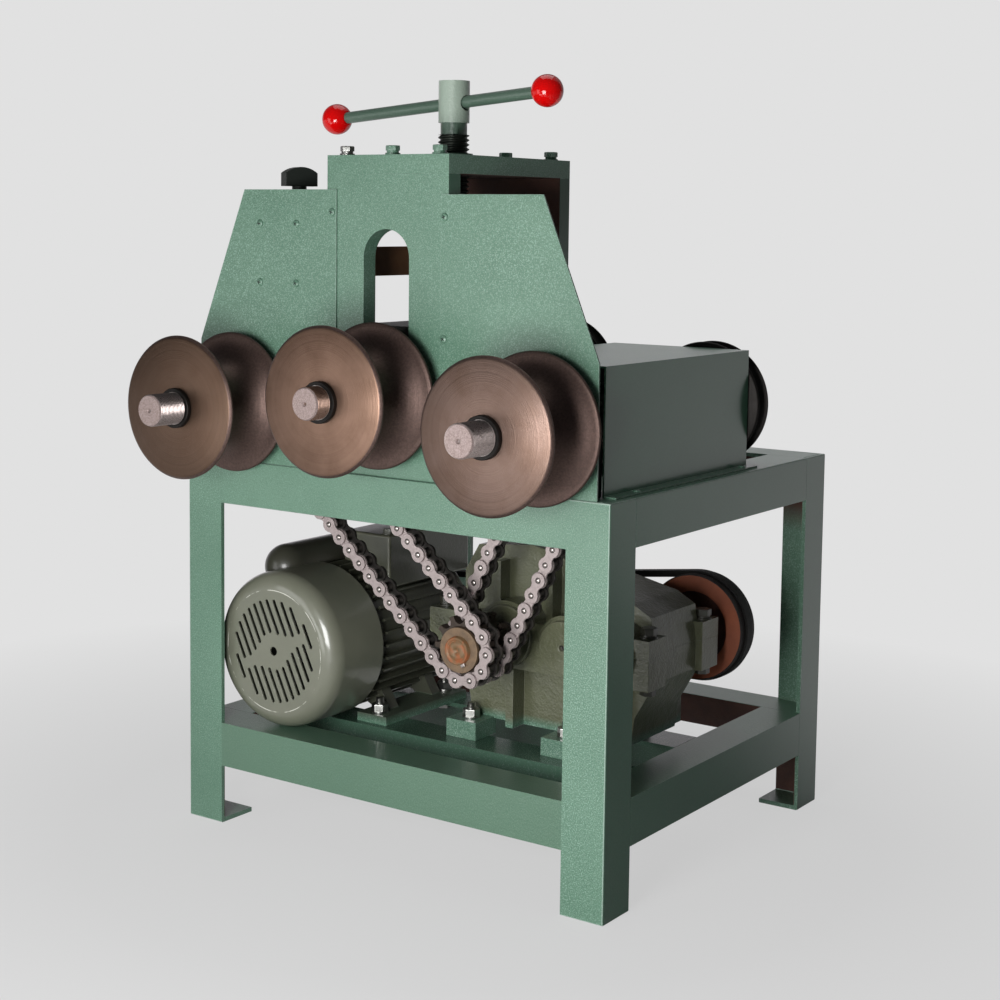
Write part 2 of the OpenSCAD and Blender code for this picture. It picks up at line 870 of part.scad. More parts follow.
module fan_slots() {
  for (k = [1 : vents - 2]) {
    u = (k - (vents - 1) / 2) * vent_p;
    near = max(vent_gap, vent_hub - vent_fall * abs(u));
    far = sqrt(pow(vent_r, 2) - pow(u, 2));
    for (turn = [vent_ang, vent_ang + 180])
      rotate(turn) translate([u, near]) vent(far - near);
  }
  for (s = [-1, 1])
    rotate(vent_ang) translate([s * vent_p * (vents - 1) / 2, -vent_side / 2]) vent(vent_side);
  circle(r = 5);
}

module motor_fan_cover() {
  r = fan_cover_r;
  edge = 20;
  color("darkolivegreen") placed() translate([motor_x, 0, motor_z]) difference() {
    turned(0, 0) difference() {
      union() {
        translate([0, fan_y0]) square([r - edge, edge + 1]);
        translate([0, fan_y0 + edge]) square([r, fan_y1 - fan_y0 - edge]);
        translate([r - edge, fan_y0 + edge]) circle(r = edge);
      }
      union() {
        translate([-1, fan_y0 + sheet]) square([r - edge + 1, edge]);
        translate([-1, fan_y0 + edge]) square([r - sheet + 1, fan_y1 - fan_y0]);
        translate([r - edge, fan_y0 + edge]) circle(r = edge - sheet);
      }
    }
    slab([fan_y0 - 1, fan_y0 + sheet + 1]) fan_slots();
  }
}

module motor_end_shield() {
  color("darkolivegreen") placed() turned(motor_x, motor_z) difference() {
    polygon([
      [motor_shaft_d / 2 + run_fit, stator_y1], [stator_r + 3, stator_y1], [stator_r + 3, stator_y1 + 8],
      [stator_r - 14, stator_y1 + 18], [34, stator_y1 + 20], [30, shield_y1 - 1],
      [motor_shaft_d / 2 + run_fit, shield_y1 - 1]
    ]);
    translate([0, stator_y1 - 1]) square([bore_r, 6]);
  }
}

// Boxes on top of the motor, cut to sit on its ribs
module motor_terminal_box() {
  color("darkolivegreen") placed() difference() {
    box([motor_x + box_side, motor_x + 70], [stator_y0 + 38, stator_y1 + 18], [motor_z + 60, motor_z + 122]);
    rod(motor_x, motor_z, [stator_y0, stator_y1 + 20], fin_r + seat_gap);
  }
}

module motor_capacitor_cover() {
  r = 26;
  y = [48, 215];
  x = motor_x - 32;
  z = motor_z + 84;
  color("darkslategray") placed() difference() {
    union() {
      rod(x, z, [y[0] + r, y[1] - r], r);
      for (end = [y[0] + r, y[1] - r])
        translate([x, end, z]) sphere(r = r);
    }
    rod(motor_x, motor_z, [y[0], y[1]], fin_r + seat_gap);
    rod(motor_x, motor_z, [y[0], front_rim_y1 + seat_gap], fan_cover_r + seat_gap);
    box([motor_x + box_side - 0.5, motor_x + 80], y, [motor_z, motor_z + 200]);
  }
}

// Reducer: cast base with four feet and a bolted cover, split on the shafts' level
module shaft_bores() {
  rod(drive_x, drive_z, [boss_y0 - 1, boss_y1 + 1], out_d / 2 + run_fit);
  rod(lay_x, lay_z, [boss_y0 - 1, boss_y1 + 1], lay_d / 2 + run_fit);
  rod(in_x, in_z, [boss_y0 - 1, boss_y1 + 1], in_d / 2 + run_fit);
}

module reducer_bolt_holes() {
  for (x = red_bolt_x)
    for (y = red_bolt_y)
      translate([x, y, split_z - 60]) cylinder(h = 120, r = foot_hole);
}

module reducer_base() {
  low = low_rail_z + pad_h;
  x0 = box_x0;
  x1 = box_x1;
  color("darkolivegreen") placed() difference() {
    union() {
      slab([box_y0, box_y1])
        polygon([
          [x0, split_z], [x0, low + 60], [x0 + 12, low], [x1 - 28, low],
          [x1 - 24, low + 30], [x1, low + 72], [x1, split_z]
        ]);
      for (y = [[boss_y0, box_y0 + wall], [box_y1 - wall, boss_y1]])
        box([boss_x0, boss_x1], y, [split_z - boss_down, split_z]);
      for (x = pad_x)
        for (y = pad_y)
          box([x, x + pad_w], [y, y + pad_l], [low_rail_z, low + 2]);
      for (x = [drive_x, in_x])
        for (y = [[boss_y0 + 6, box_y0 + 1], [box_y1 - 1, boss_y1 - 6]])
          slab(y) polygon([[x - 5, split_z - 30], [x - 5, low], [x + 5, low], [x + 5, split_z - 30]]);
    }
    slab([box_y0 + wall, box_y1 - wall])
      polygon([
        [x0 + wall, split_z + 1], [x0 + wall, low + 60], [x0 + 20, low + wall], [x1 - 36, low + wall],
        [x1 - 32, low + 32], [x1 - wall, low + 74], [x1 - wall, split_z + 1]
      ]);
    shaft_bores();
    reducer_bolt_holes();
    pad_holes(low_rail_z - 1, 40);
  }
}

module reducer_cover() {
  x0 = box_x0;
  x1 = box_x1;
  color("darkolivegreen") placed() difference() {
    union() {
      slab([box_y0, box_y1])
        polygon([
          [x0, split_z], [x0, split_z + 62], [x0 + 18, split_z + 92], [drive_x + 14, split_z + 99],
          [drive_x + 50, split_z + 92], [lay_x + 12, split_z + 62], [x1 - 28, split_z + 50],
          [x1 - 6, split_z + 38], [x1, split_z]
        ]);
      for (y = [[boss_y0, box_y0 + wall], [box_y1 - wall, boss_y1]])
        box([boss_x0, boss_x1], y, [split_z, split_z + boss_up]);
      for (s = [[drive_x, 40], [lay_x, 33], [in_x, 33]])
        for (y = [[boss_y0, box_y0 + 1], [box_y1 - 1, boss_y1]])
          slab(y) intersection() {
            translate([s[0], split_z]) circle(r = s[1]);
            translate([s[0] - 50, split_z]) square([100, 60]);
          }
      for (x = [drive_x - 20, drive_x + 48])
        box([x - 4, x + 4], [boss_y0 + 10, boss_y1 - 10], [split_z + 1, split_z + 80]);
    }
    slab([box_y0 + wall, box_y1 - wall])
      polygon([
        [x0 + wall, split_z - 1], [x0 + wall, split_z + 60], [x0 + 23, split_z + 84],
        [drive_x + 13, split_z + 91], [drive_x + 47, split_z + 84], [lay_x + 8, split_z + 55],
        [x1 - 32, split_z + 42], [x1 - 14, split_z + 33], [x1 - wall, split_z - 1]
      ]);
    shaft_bores();
    reducer_bolt_holes();
  }
}

// Bearing caps on both faces of the reducer
module cap(x, z, r, y, bore) {
  slab(y) translate([x, z]) difference() {
    circle(r = r);
    circle(r = bore);
  }
}

module reducer_caps() {
  color("darkolivegreen") placed() {
    cap(drive_x, drive_z, 34, [boss_y0 - 6, boss_y0], out_d / 2 + 1);
    cap(drive_x, drive_z, 34, [boss_y1, boss_y1 + 6], 3);
    cap(lay_x, lay_z, 29, [boss_y0 - 6, boss_y0], 3);
    cap(lay_x, lay_z, 29, [boss_y1, boss_y1 + 6], 3);
    cap(in_x, in_z, 28, [boss_y0 - 6, boss_y0], 3);
    cap(in_x, in_z, 28, [boss_y1, boss_y1 + 6], in_d / 2 + 1);
  }
}

// Foot bolts of the motor and the reducer, and the bolts that clamp the reducer's halves
module foot_bolt(z) {
  translate([0, 0, low_rail_z - angle_t - 6.5]) linear_extrude(6.5) circle(d = 17 / cos(30), $fn = 6);
  translate([0, 0, low_rail_z - angle_t]) cylinder(h = z - low_rail_z + angle_t + 17, r = foot_r);
  translate([0, 0, z]) cylinder(h = 2, r = 10);
  translate([0, 0, z + 2]) linear_extrude(8) circle(d = 17 / cos(30), $fn = 6);
}

module drive_bolts() {
  color("silver") placed() {
    for (s = [-1, 1])
      for (y = [motor_y, motor_y + motor_foot_y])
        translate([motor_x + s * motor_foot_x / 2, y, 0]) foot_bolt(low_rail_z + motor_foot_t);
    for (x = pad_x)
      for (y = pad_y)
        translate([x + pad_w / 2, y + pad_l / 2, 0]) foot_bolt(low_rail_z + pad_h + 2);
    for (x = red_bolt_x)
      for (y = red_bolt_y)
        translate([x, y, split_z + boss_up]) {
          hex_bolt(foot_r, 16, 7, boss_up + boss_down);
          translate([0, 0, -boss_up - boss_down - 7]) linear_extrude(7) circle(d = 16 / cos(30), $fn = 6);
        }
  }
}

// Position and link angle of pin number i on a chain around two equal sprockets
function strand(n) = (n - teeth) / 2;
function pin_at(i, n, c, a) =
  let (s = i % n, run = strand(n), turn = 360 / teeth, half = teeth / 2)
  s <= run
    ? c + [cos(a), sin(a)] * s * chain_p + [-sin(a), cos(a)] * chain_r
    : s <= run + half
      ? c + [cos(a), sin(a)] * run * chain_p
        + [cos(a + 90 - (s - run) * turn), sin(a + 90 - (s - run) * turn)] * chain_r
      : s <= 2 * run + half
        ? c + [cos(a), sin(a)] * (2 * run + half - s) * chain_p - [-sin(a), cos(a)] * chain_r
        : c + [
            cos(a - 90 - (s - 2 * run - half) * turn), sin(a - 90 - (s - 2 * run - half) * turn)
          ] * chain_r;

module link_plate(p, q, r) {
  d = norm(q - p);
  translate(p) rotate(atan2(q[1] - p[1], q[0] - p[0])) {
    circle(r = r);
    translate([d, 0]) circle(r = r);
    translate([0, -r * 0.66]) square([d, r * 1.32]);
  }
}

// Roller chain: inner and outer links in turn
module chain(n, c, a, y) {
  for (i = [0 : n - 1]) {
    p = pin_at(i, n, c, a);
    q = pin_at(i + 1, n, c, a);
    outer = i % 2;
    r = outer == 1 ? plate_r - 0.6 : plate_r;
    off = chain_in + outer * plate_t;
    rod(p[0], p[1], [y - chain_half, y + chain_half], 3);
    rod(p[0], p[1], [y - chain_in, y + chain_in], chain_roller / 2);
    slab([y - off - plate_t, y - off]) link_plate(p, q, r);
    slab([y + off, y + off + plate_t]) link_plate(p, q, r);
  }
}

module chain_front() {
  color("lightgray") placed() chain(links_front, [-roll_x, roll_z], front_ang, chain_y1);
}

module chain_rear() {
  color("lightgray") placed() chain(links_rear, [roll_x, roll_z], rear_ang, chain_y2);
}

// V-belt between the motor's pulley and the reducer's pulley
belt_dx = in_x - motor_x;
belt_dz = in_z - motor_z;
belt_c = sqrt(belt_dx * belt_dx + belt_dz * belt_dz);
belt_a = atan2(belt_dz, belt_dx);
belt_b = asin((belt_r1 - belt_r2) / belt_c);
belt_steps = 40;
belt_section = [
  [0, -belt_w / 2], [0, belt_w / 2],
  [-belt_t, belt_w / 2 - belt_t * belt_tan], [-belt_t, -belt_w / 2 + belt_t * belt_tan]
];

// The belt's section on a pulley, at one angle
function belt_ring(x, z, r, a) =
  [for (p = belt_section) [x + (r + p[0]) * cos(a), belt_y + p[1], z + (r + p[0]) * sin(a)]];

// The sections along a bend
function belt_bend(x, z, r, from, sweep) =
  [for (i = [0 : belt_steps]) each belt_ring(x, z, r, from + i * sweep / belt_steps)];

module v_belt() {
  n = 2 * (belt_steps + 1);
  color("black") placed() polyhedron(
    points = concat(
      belt_bend(in_x, in_z, belt_r1, belt_a - 90 - belt_b, 180 + 2 * belt_b),
      belt_bend(motor_x, motor_z, belt_r2, belt_a + 90 + belt_b, 180 - 2 * belt_b)
    ),
    faces = [
      for (i = [0 : n - 1])
        for (k = [0 : 3])
          [4 * i + k, 4 * i + (k + 1) % 4, 4 * ((i + 1) % n) + (k + 1) % 4, 4 * ((i + 1) % n) + k]
    ]
  );
}

// A pulley with one V-groove, turned about Y
module pulley(x, z, r, w, bore, hub) {
  g = belt_w / 2 + belt_play;
  low = g - belt_groove * belt_tan;
  turned(x, z) difference() {
    union() {
      translate([r - rim_in, belt_y - w / 2]) square([rim_in - rim_low, w]);
      translate([bore, belt_y - web_t / 2]) square([r - rim_in + 2 - bore, web_t]);
      translate([bore, belt_y - w / 2]) square([hub - bore, w]);
    }
    polygon([
      [r + 1, belt_y - g - belt_tan], [r + 1, belt_y + g + belt_tan],
      [r - belt_groove, belt_y + low], [r - belt_groove, belt_y - low]
    ]);
  }
}

module reducer_pulley() {
  color("firebrick") placed() pulley(in_x, in_z, belt_r1, pulley_w1, in_d / 2, pulley_hub1);
}

module motor_pulley() {
  color("gray") placed() pulley(motor_x, motor_z, belt_r2, pulley_w2, motor_shaft_d / 2, pulley_hub2);
}

// Gear outline with a tooth on the given angle
module gear(z, m, phase) {
  p = 360 / z;
  r = m * z / 2;
  circle(r = r - 1.2 * m);
  for (k = [0 : z - 1])
    rotate(phase + k * p)
      polygon([
        [r - 1.5 * m, -0.72 * m], [r, -0.52 * m], [r + 0.7 * m, -0.25 * m],
        [r + 0.7 * m, 0.25 * m], [r, 0.52 * m], [r - 1.5 * m, 0.72 * m]
      ]);
}

module output_shaft() {
  color("silver") placed() {
    rod(drive_x, drive_z, [chain_y1 - 16, boss_y1 - 2], out_d / 2);
    slab(gear2_y) translate([drive_x, drive_z]) gear(z4, m2, gear_ang);
  }
}

module drive_sprockets() {
  hub = [chain_y1 - 12, chain_y2 + 16];
  color("peru") placed() difference() {
    union() {
      sprocket(drive_x, drive_z, chain_y1, front_ang + 90 - half_tooth, out_d / 2, hub);
      sprocket(drive_x, drive_z, chain_y2, rear_ang + 90 - half_tooth, out_d / 2, hub);
    }
    rod(drive_x, drive_z, [0, 200], out_d / 2);
  }
}

module layshaft() {
  color("silver") placed() {
    rod(lay_x, lay_z, [boss_y0 + 2, gear2_y[0] - pinion_over], lay_d / 2);
    rod(lay_x, lay_z, [gear2_y[1] + pinion_over, boss_y1 - 2], lay_d / 2);
    slab(gear1_y) translate([lay_x, lay_z]) gear(z2, m1, gear_ang);
    slab([gear2_y[0] - pinion_over, gear2_y[1] + pinion_over])
      translate([lay_x, lay_z]) gear(z3, m2, gear_ang + 180 + 180 / z3);
  }
}

module input_shaft() {
  color("silver") placed() {
    rod(in_x, in_z, [boss_y0 + 2, gear1_y[0] - pinion_over], in_d / 2);
    rod(in_x, in_z, [gear1_y[1] + pinion_over, 340], in_d / 2);
    slab([gear1_y[0] - pinion_over, gear1_y[1] + pinion_over])
      translate([in_x, in_z]) gear(z1, m1, gear_ang + 180 + 180 / z1);
  }
}

// Motor shaft with the rotor core and the cooling fan
module motor_rotor() {
  color("silver") placed() {
    rod(motor_x, motor_z, [40, stator_y0 + 18], motor_shaft_d / 2 - 2);
    rod(motor_x, motor_z, [stator_y0 + 17.5, motor_end], motor_shaft_d / 2);
    rod(motor_x, motor_z, [132, 240], bore_r - 0.5);
    rod(motor_x, motor_z, [44, 78], 22);
    rod(motor_x, motor_z, [74, 78], 70);
    for (k = [0 : 7])
      translate([motor_x, 0, motor_z]) rotate([0, k * 45, 0]) box([20, 70], [50, 75], [-1.2, 1.2]);
  }
}

leg_front_left();
leg_front_right();
leg_rear_left();
leg_rear_right();
top_rails();
low_rails();
base_bars();
rear_beam();
tower_front_plate();
tower_rear_plate();
tower_top_plate();
tie_bars();
tower_bolts();
cover_left();
cover_right();
guard_left();
guard_right();
cover_screws();
switch_body();
housings_left();
housings_right();
roll_bearings();
motor_body();
motor_fan_cover();
motor_end_shield();
motor_terminal_box();
motor_capacitor_cover();
reducer_base();
reducer_cover();
reducer_caps();
drive_bolts();
chain_front();
chain_rear();
v_belt();
left_shaft();
left_die();
left_rear_die();
left_sprocket();
left_nuts();
right_shaft();
right_die();
right_rear_die();
right_sprocket();
right_nuts();
middle_shaft();
middle_die();
middle_rear_die();
middle_nuts();
slider();
press_screw();
cross_bar();
ball_knobs();
switch_knob();
output_shaft();
drive_sprockets();
layshaft();
input_shaft();
reducer_pulley();
motor_rotor();
motor_pulley();
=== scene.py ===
from math import atan2, cos, hypot, pi, radians, sin, sqrt

import bmesh
import bpy
from mathutils import Matrix, Vector


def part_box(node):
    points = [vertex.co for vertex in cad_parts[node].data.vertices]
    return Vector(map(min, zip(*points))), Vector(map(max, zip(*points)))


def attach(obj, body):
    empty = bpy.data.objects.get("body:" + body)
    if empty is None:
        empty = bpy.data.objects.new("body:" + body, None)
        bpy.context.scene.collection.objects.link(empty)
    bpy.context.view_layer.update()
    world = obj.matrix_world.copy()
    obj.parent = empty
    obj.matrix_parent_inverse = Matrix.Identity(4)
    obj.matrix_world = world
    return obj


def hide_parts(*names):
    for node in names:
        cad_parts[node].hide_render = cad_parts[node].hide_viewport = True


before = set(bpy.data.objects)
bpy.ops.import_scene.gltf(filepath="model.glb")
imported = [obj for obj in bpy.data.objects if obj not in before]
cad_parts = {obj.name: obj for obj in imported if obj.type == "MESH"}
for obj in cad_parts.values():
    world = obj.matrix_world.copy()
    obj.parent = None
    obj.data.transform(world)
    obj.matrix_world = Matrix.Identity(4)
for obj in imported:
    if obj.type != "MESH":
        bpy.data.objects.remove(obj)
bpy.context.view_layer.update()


# The studio: a camera at the photograph's place, a pale floor that fades into an even grey, two
# soft lamps and a low reflector in front and a weak lamp overhead. Glossy faces mirror pale walls.
MM = 0.001
stand_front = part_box("top_rails")[0].y
camera_azimuth = radians(35.085)
camera_drop = radians(5.424)
camera_roll = radians(0.68)
camera_place = Vector((1.16487, stand_front - 1.47019, 0.69077))
forward = Vector((
    -sin(camera_azimuth) * cos(camera_drop),
    cos(camera_azimuth) * cos(camera_drop),
    -sin(camera_drop),
))
level = forward.cross(Vector((0, 0, 1))).normalized()
upright = level.cross(forward)
camera_right = level * cos(camera_roll) + upright * sin(camera_roll)
camera_up = upright * cos(camera_roll) - level * sin(camera_roll)
lens = bpy.data.cameras.new("camera")
lens.lens = 64.787
lens.sensor_width = 36
lens.shift_x = 0.0142
lens.shift_y = -0.1093
camera = bpy.data.objects.new("camera", lens)
camera_turn = Matrix((camera_right, camera_up, -forward)).transposed().to_4x4()
camera.matrix_world = Matrix.Translation(camera_place) @ camera_turn
bpy.context.scene.collection.objects.link(camera)
bpy.context.scene.camera = camera
bpy.context.scene.view_settings.view_transform = "Standard"


def srgb(red, green, blue):
    """A colour written in 0 to 255 screen values, as the shader wants it."""
    shares = [c / 255 for c in (red, green, blue)]
    return [s / 12.92 if s <= 0.04045 else ((s + 0.055) / 1.055) ** 2.4 for s in shares] + [1.0]


class Wire:
    """One value inside a finish; arithmetic on it adds Math nodes."""

    def __init__(self, finish, socket):
        self.finish = finish
        self.socket = socket

    def math(self, operation, *values):
        return self.finish.node("ShaderNodeMath", {"operation": operation}, dict(enumerate(values)))

    def __add__(self, other):
        return self.math("ADD", self, other)

    def __sub__(self, other):
        return self.math("SUBTRACT", self, other)

    def __rsub__(self, other):
        return self.math("SUBTRACT", other, self)

    def __mul__(self, other):
        return self.math("MULTIPLY", self, other)

    __radd__ = __add__
    __rmul__ = __mul__

    def above(self, edge):
        return self.math("GREATER_THAN", self, edge)

    def below(self, edge):
        return self.math("LESS_THAN", self, edge)


class Finish:
    """A procedural surface, or the world: one shader and the nodes that feed it."""

    def __init__(self, name, constants, owner=None, shader="Principled BSDF"):
        self.material = owner or bpy.data.materials.new(name)
        self.material.use_nodes = True
        self.tree = self.material.node_tree
        self.shader = self.tree.nodes[shader]
        self.feed(constants)

    def plug(self, socket, value):
        if isinstance(value, Wire):
            self.tree.links.new(value.socket, socket)
        else:
            socket.default_value = value

    def feed(self, values):
        for name, value in values.items():
            self.plug(self.shader.inputs[name], value)

    def node(self, kind, settings, inputs, output=0):
        made = self.tree.nodes.new(kind)
        for name, value in settings.items():
            if name == "stops":
                ramp = made.color_ramp
                for place, colour in value[len(ramp.elements):]:
                    ramp.elements.new(place)
                for stop, (place, colour) in zip(ramp.elements, value):
                    stop.position = place
                    stop.color = colour
            else:
                setattr(made, name, value)
        for name, value in inputs.items():
            self.plug(made.inputs[name], value)
        return Wire(self, made.outputs[output])

    def place(self, kind="Object"):
        return self.node("ShaderNodeTexCoord", {}, {}, kind)

    def axes(self, kind="Object"):
        split = self.node("ShaderNodeSeparateXYZ", {}, {"Vector": self.place(kind)})
        return [Wire(self, split.socket.node.outputs[i]) for i in range(3)]

    def rays(self):
        """1 for rays straight from the camera, and 1 for rays off a glossy face."""
        paths = self.node("ShaderNodeLightPath", {}, {}, "Is Camera Ray")
        return paths, Wire(self, paths.socket.node.outputs["Is Glossy Ray"])

    def noise(self, scale, detail=2.0, roughness=0.5, vector=None):
        inputs = {"Scale": scale, "Detail": detail, "Roughness": roughness}
        inputs["Vector"] = vector or self.place()
        return self.node("ShaderNodeTexNoise", {}, inputs)

    def cells(self, scale):
        inputs = {"Vector": self.place(), "Scale": scale}
        return self.node("ShaderNodeTexVoronoi", {"feature": "SMOOTH_F1"}, inputs)

    def rise(self, value, low, high):
        """0 below low, 1 above high, and even in between."""
        return self.node("ShaderNodeMapRange", {}, {"Value": value, "From Min": low, "From Max": high})

    def blend(self, share, one, other):
        return self.node("ShaderNodeMix", {"data_type": "RGBA"}, {0: share, 6: one, 7: other}, 2)

    def edges(self):
        """1 on rounded edges and thread crests, from the mesh's own attribute."""
        return self.node("ShaderNodeAttribute", {"attribute_name": "edge"}, {}, 2)

    def bump(self, height, depth, strength=1.0):
        inputs = {"Height": height, "Distance": depth, "Strength": strength}
        self.feed({"Normal": self.node("ShaderNodeBump", {}, inputs)})


floor_mesh = bmesh.new()
bmesh.ops.create_circle(floor_mesh, cap_ends=True, segments=96, radius=30)
floor_data = bpy.data.meshes.new("floor")
floor_mesh.to_mesh(floor_data)
floor_mesh.free()
floor = bpy.data.objects.new("floor", floor_data)
bpy.context.scene.collection.objects.link(floor)
backdrop_grey = srgb(225, 225, 225)
paper = Finish("studio_paper", {"Base Color": srgb(196, 196, 196), "Roughness": 0.9})
reach = paper.node("ShaderNodeVectorMath", {"operation": "LENGTH"}, {0: paper.place()}, 1)
fade = 0.74 + 0.26 * paper.rise(reach, 0.45, 1.15)
paper_x, paper_y = paper.axes()[:2]
seen, mirrored = paper.rays()
glow = paper.node("ShaderNodeEmission", {}, {"Color": backdrop_grey})
glint = 0.85 * paper.rise(paper_y - 1.05 * paper_x, -0.1, 0.25)
lit = Wire(paper, paper.shader.outputs[0])
mixed = paper.node("ShaderNodeMixShader", {}, {0: fade * seen + glint * mirrored, 1: lit, 2: glow})
paper.tree.links.new(mixed.socket, paper.tree.nodes["Material Output"].inputs["Surface"])
floor_data.materials.append(paper.material)

world = bpy.data.worlds.new("studio")
bpy.context.scene.world = world
sky = Finish("studio", {}, world, "Background")
way_x, way_y, way_z = sky.axes("Generated")
seen, mirrored = sky.rays()
wall_greys = ((0.2, 136), (0.69, 180), (0.755, 70), (1.0, 58))
stops = [(place, srgb(grey, grey, grey)) for place, grey in wall_greys]
walls = sky.node("ShaderNodeValToRGB", {"stops": stops}, {0: sky.rise(way_x, -1, 1)})
left_corner = sky.rise(way_z, 0.3, 0.12) * sky.rise(way_x, 0.1, -0.3)
walls = sky.blend(left_corner, walls, srgb(255, 250, 255))
ambient = srgb(63, 65, 67)
around = sky.blend(sky.rise(way_y, -0.1, 0.5) * mirrored, ambient, walls)
sky.feed({"Color": sky.blend(seen, around, backdrop_grey)})


def lamp(name, place, aim, width, height, watts):
    data = bpy.data.lights.new(name, "AREA")
    data.shape = "RECTANGLE"
    data.size = width
    data.size_y = height
    data.energy = watts
    made = bpy.data.objects.new(name, data)
    made.location = place
    made.rotation_euler = (Vector(aim) - Vector(place)).to_track_quat("-Z", "Y").to_euler()
    bpy.context.scene.collection.objects.link(made)


lamp("front_softbox", (0.34, -1.3, 0.44), (0.05, 0, 0.42), 0.5, 0.5, 14)
lamp("left_softbox", (-1.0, -1.8, 0.5), (0.1, -0.2, 0.45), 0.8, 0.9, 5)
lamp("low_reflector", (-0.42, -1.3, 0.1), (0.15, 0, 0.35), 0.5, 0.24, 1.5)
lamp("overhead_softbox", (-0.3, 0.5, 2.6), (0, 0.05, 0.4), 1.6, 1.6, 12)


# The stand: legs and rails of 50 mm angle iron, butted and welded, ground flush and sprayed
# with a hammered green enamel. The same enamel covers the tower, the covers and the guards.
enamel_deep = srgb(84, 121, 100)
enamel_mid = srgb(98, 134, 113)
enamel_pale = srgb(162, 191, 175)
primer_brown = srgb(98, 58, 44)


def green_enamel(name, bare=None, wear_and_painted_light=None, edge_wear_and_highlight=0.6, grain=1.0):
    """Hammered enamel with lighter edges, worn paint and a painted highlight, and an over-tone that is
    wear on some finishes and painted shade on others; bare gives the primer's share.
    """
    made = Finish(name, {"Coat Roughness": 0.3, "Specular IOR Level": 0.5})
    drift = made.noise(4.5, 4.0, 0.6)
    patch = made.rise(made.noise(3.2, 3.0, 0.55), 0.36, 0.62)
    fleck = made.rise(made.noise(760, 2.0, 0.62), 0.5, 0.64)
    pit = made.rise(made.noise(620, 2.0, 0.6), 0.56, 0.66)
    tone = made.blend(made.rise(drift, 0.35, 0.68), enamel_deep, enamel_mid)
    tone = made.blend(fleck * (0.22 * grain + 0.4 * grain * patch), tone, enamel_pale)
    tone = made.blend(pit * 0.3, tone, srgb(58, 92, 74))
    # Bevelled edges lighten towards a pale grey-green: worn paint and a painted edge highlight.
    tone = made.blend(made.edges() * edge_wear_and_highlight, tone, srgb(188, 208, 196))
    # The over-tone: on the right-facing sides it is painted shade.
    if wear_and_painted_light:
        tone = made.blend(0.75, tone, wear_and_painted_light)
    rough = 0.17 + 0.15 * grain + 0.14 * grain * fleck
    coat = 0.25
    if bare:
        primed = bare(made, *made.axes())
        tone = made.blend(primed, tone, made.blend(made.noise(60, 4.0), primer_brown, srgb(62, 40, 32)))
        rough = rough + 0.25 * primed
        coat = 0.25 - 0.25 * primed
    made.feed({"Base Color": tone, "Roughness": rough, "Coat Weight": coat})
    made.bump(made.cells(380) * 0.6 + made.noise(760, 2.0, 0.62) * 0.8, 0.0006, 0.6 * grain)
    return made


def bevelled(mesh, edges, width, segments=2, clamp=True):
    """Round edges of a mesh by a width, and give the new faces."""
    return bmesh.ops.bevel(
        mesh, geom=edges, offset=width, offset_type="OFFSET", affect="EDGES", segments=segments,
        profile=0.5, material=-1, clamp_overlap=clamp,
    )["faces"]


def merged_copy(node):
    """A solid's mesh with its split corners joined again."""
    mesh = bmesh.new()
    mesh.from_mesh(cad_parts[node].data)
    bmesh.ops.remove_doubles(mesh, verts=mesh.verts, dist=0.02 * MM)
    return mesh


def softened(node, edge, spare=None, segments=2):
    """A merged copy of a solid with its sharp edges rounded; spare tells which edges stay."""
    mesh = merged_copy(node)
    on_edge = mesh.faces.layers.float.new("edge")
    bmesh.ops.dissolve_limit(
        mesh, angle_limit=radians(1), use_dissolve_boundaries=False, verts=mesh.verts,
        edges=mesh.edges, delimit={"NORMAL"},
    )
    least_turn = radians(35)
    sharp = [e for e in mesh.edges if len(e.link_faces) == 2 and e.calc_face_angle() > least_turn]
    if spare:
        sharp = [e for e in sharp if not spare((e.verts[0].co + e.verts[1].co) / 2)]
    for face in bevelled(mesh, sharp, edge, segments):
        face[on_edge] = 1.0
    return mesh


def piece(name, mesh, body, finishes, stands_for=(), crease=38, even=True):
    """Make a finished bmesh a piece that rides on a body and stands for its solids."""
    data = bpy.data.meshes.new(name)
    for face in mesh.faces:
        face.smooth = True
    mesh.to_mesh(data)
    mesh.free()
    data.set_sharp_from_angle(angle=radians(crease))
    made = bpy.data.objects.new(name, data)
    bpy.context.scene.collection.objects.link(made)
    for finish in finishes:
        data.materials.append(finish.material)
    if even:
        flatten = made.modifiers.new("even_faces", "WEIGHTED_NORMAL")
        flatten.keep_sharp = True
    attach(made, body)
    if stands_for:
        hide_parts(*stands_for)


def dress(node, finish):
    """Give a solid that stays in view its finish."""
    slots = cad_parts[node].data.materials
    slots.clear()
    slots.append(finish.material)


# The right-facing sides' enamel: smoother, and darker in tone as painted shade.
painted_shade_side_enamel = green_enamel("painted_shade_side_enamel", wear_and_painted_light=srgb(62, 98, 78), edge_wear_and_highlight=0.2, grain=0.2)


def shade_right_sides(mesh):
    """Outer faces that look to the right get material number 1: a smoother coat in a deeper tone, which
    is painted shade.
    """
    least_x = 70 * MM
    for face in mesh.faces:
        if face.normal.x > 0.9 and face.calc_center_median().x > least_x:
            face.material_index = 1
    return mesh


angle_iron = 50 * MM
half_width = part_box("top_rails")[1].x
stand_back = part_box("top_rails")[1].y
butts_x = (-half_width + angle_iron, half_width - angle_iron)
butts_y = (stand_front + angle_iron, stand_back - angle_iron)


def at_butt(middle):
    """Edges of the ground-flush butt joints, which carry no visible seam."""
    gaps = [abs(middle.x - b) for b in butts_x] + [abs(middle.y - b) for b in butts_y]
    return min(gaps) < 0.7 * MM


wall = 4.4 * MM
stand_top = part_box("top_rails")[1].z
rail_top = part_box("low_rails")[1].z


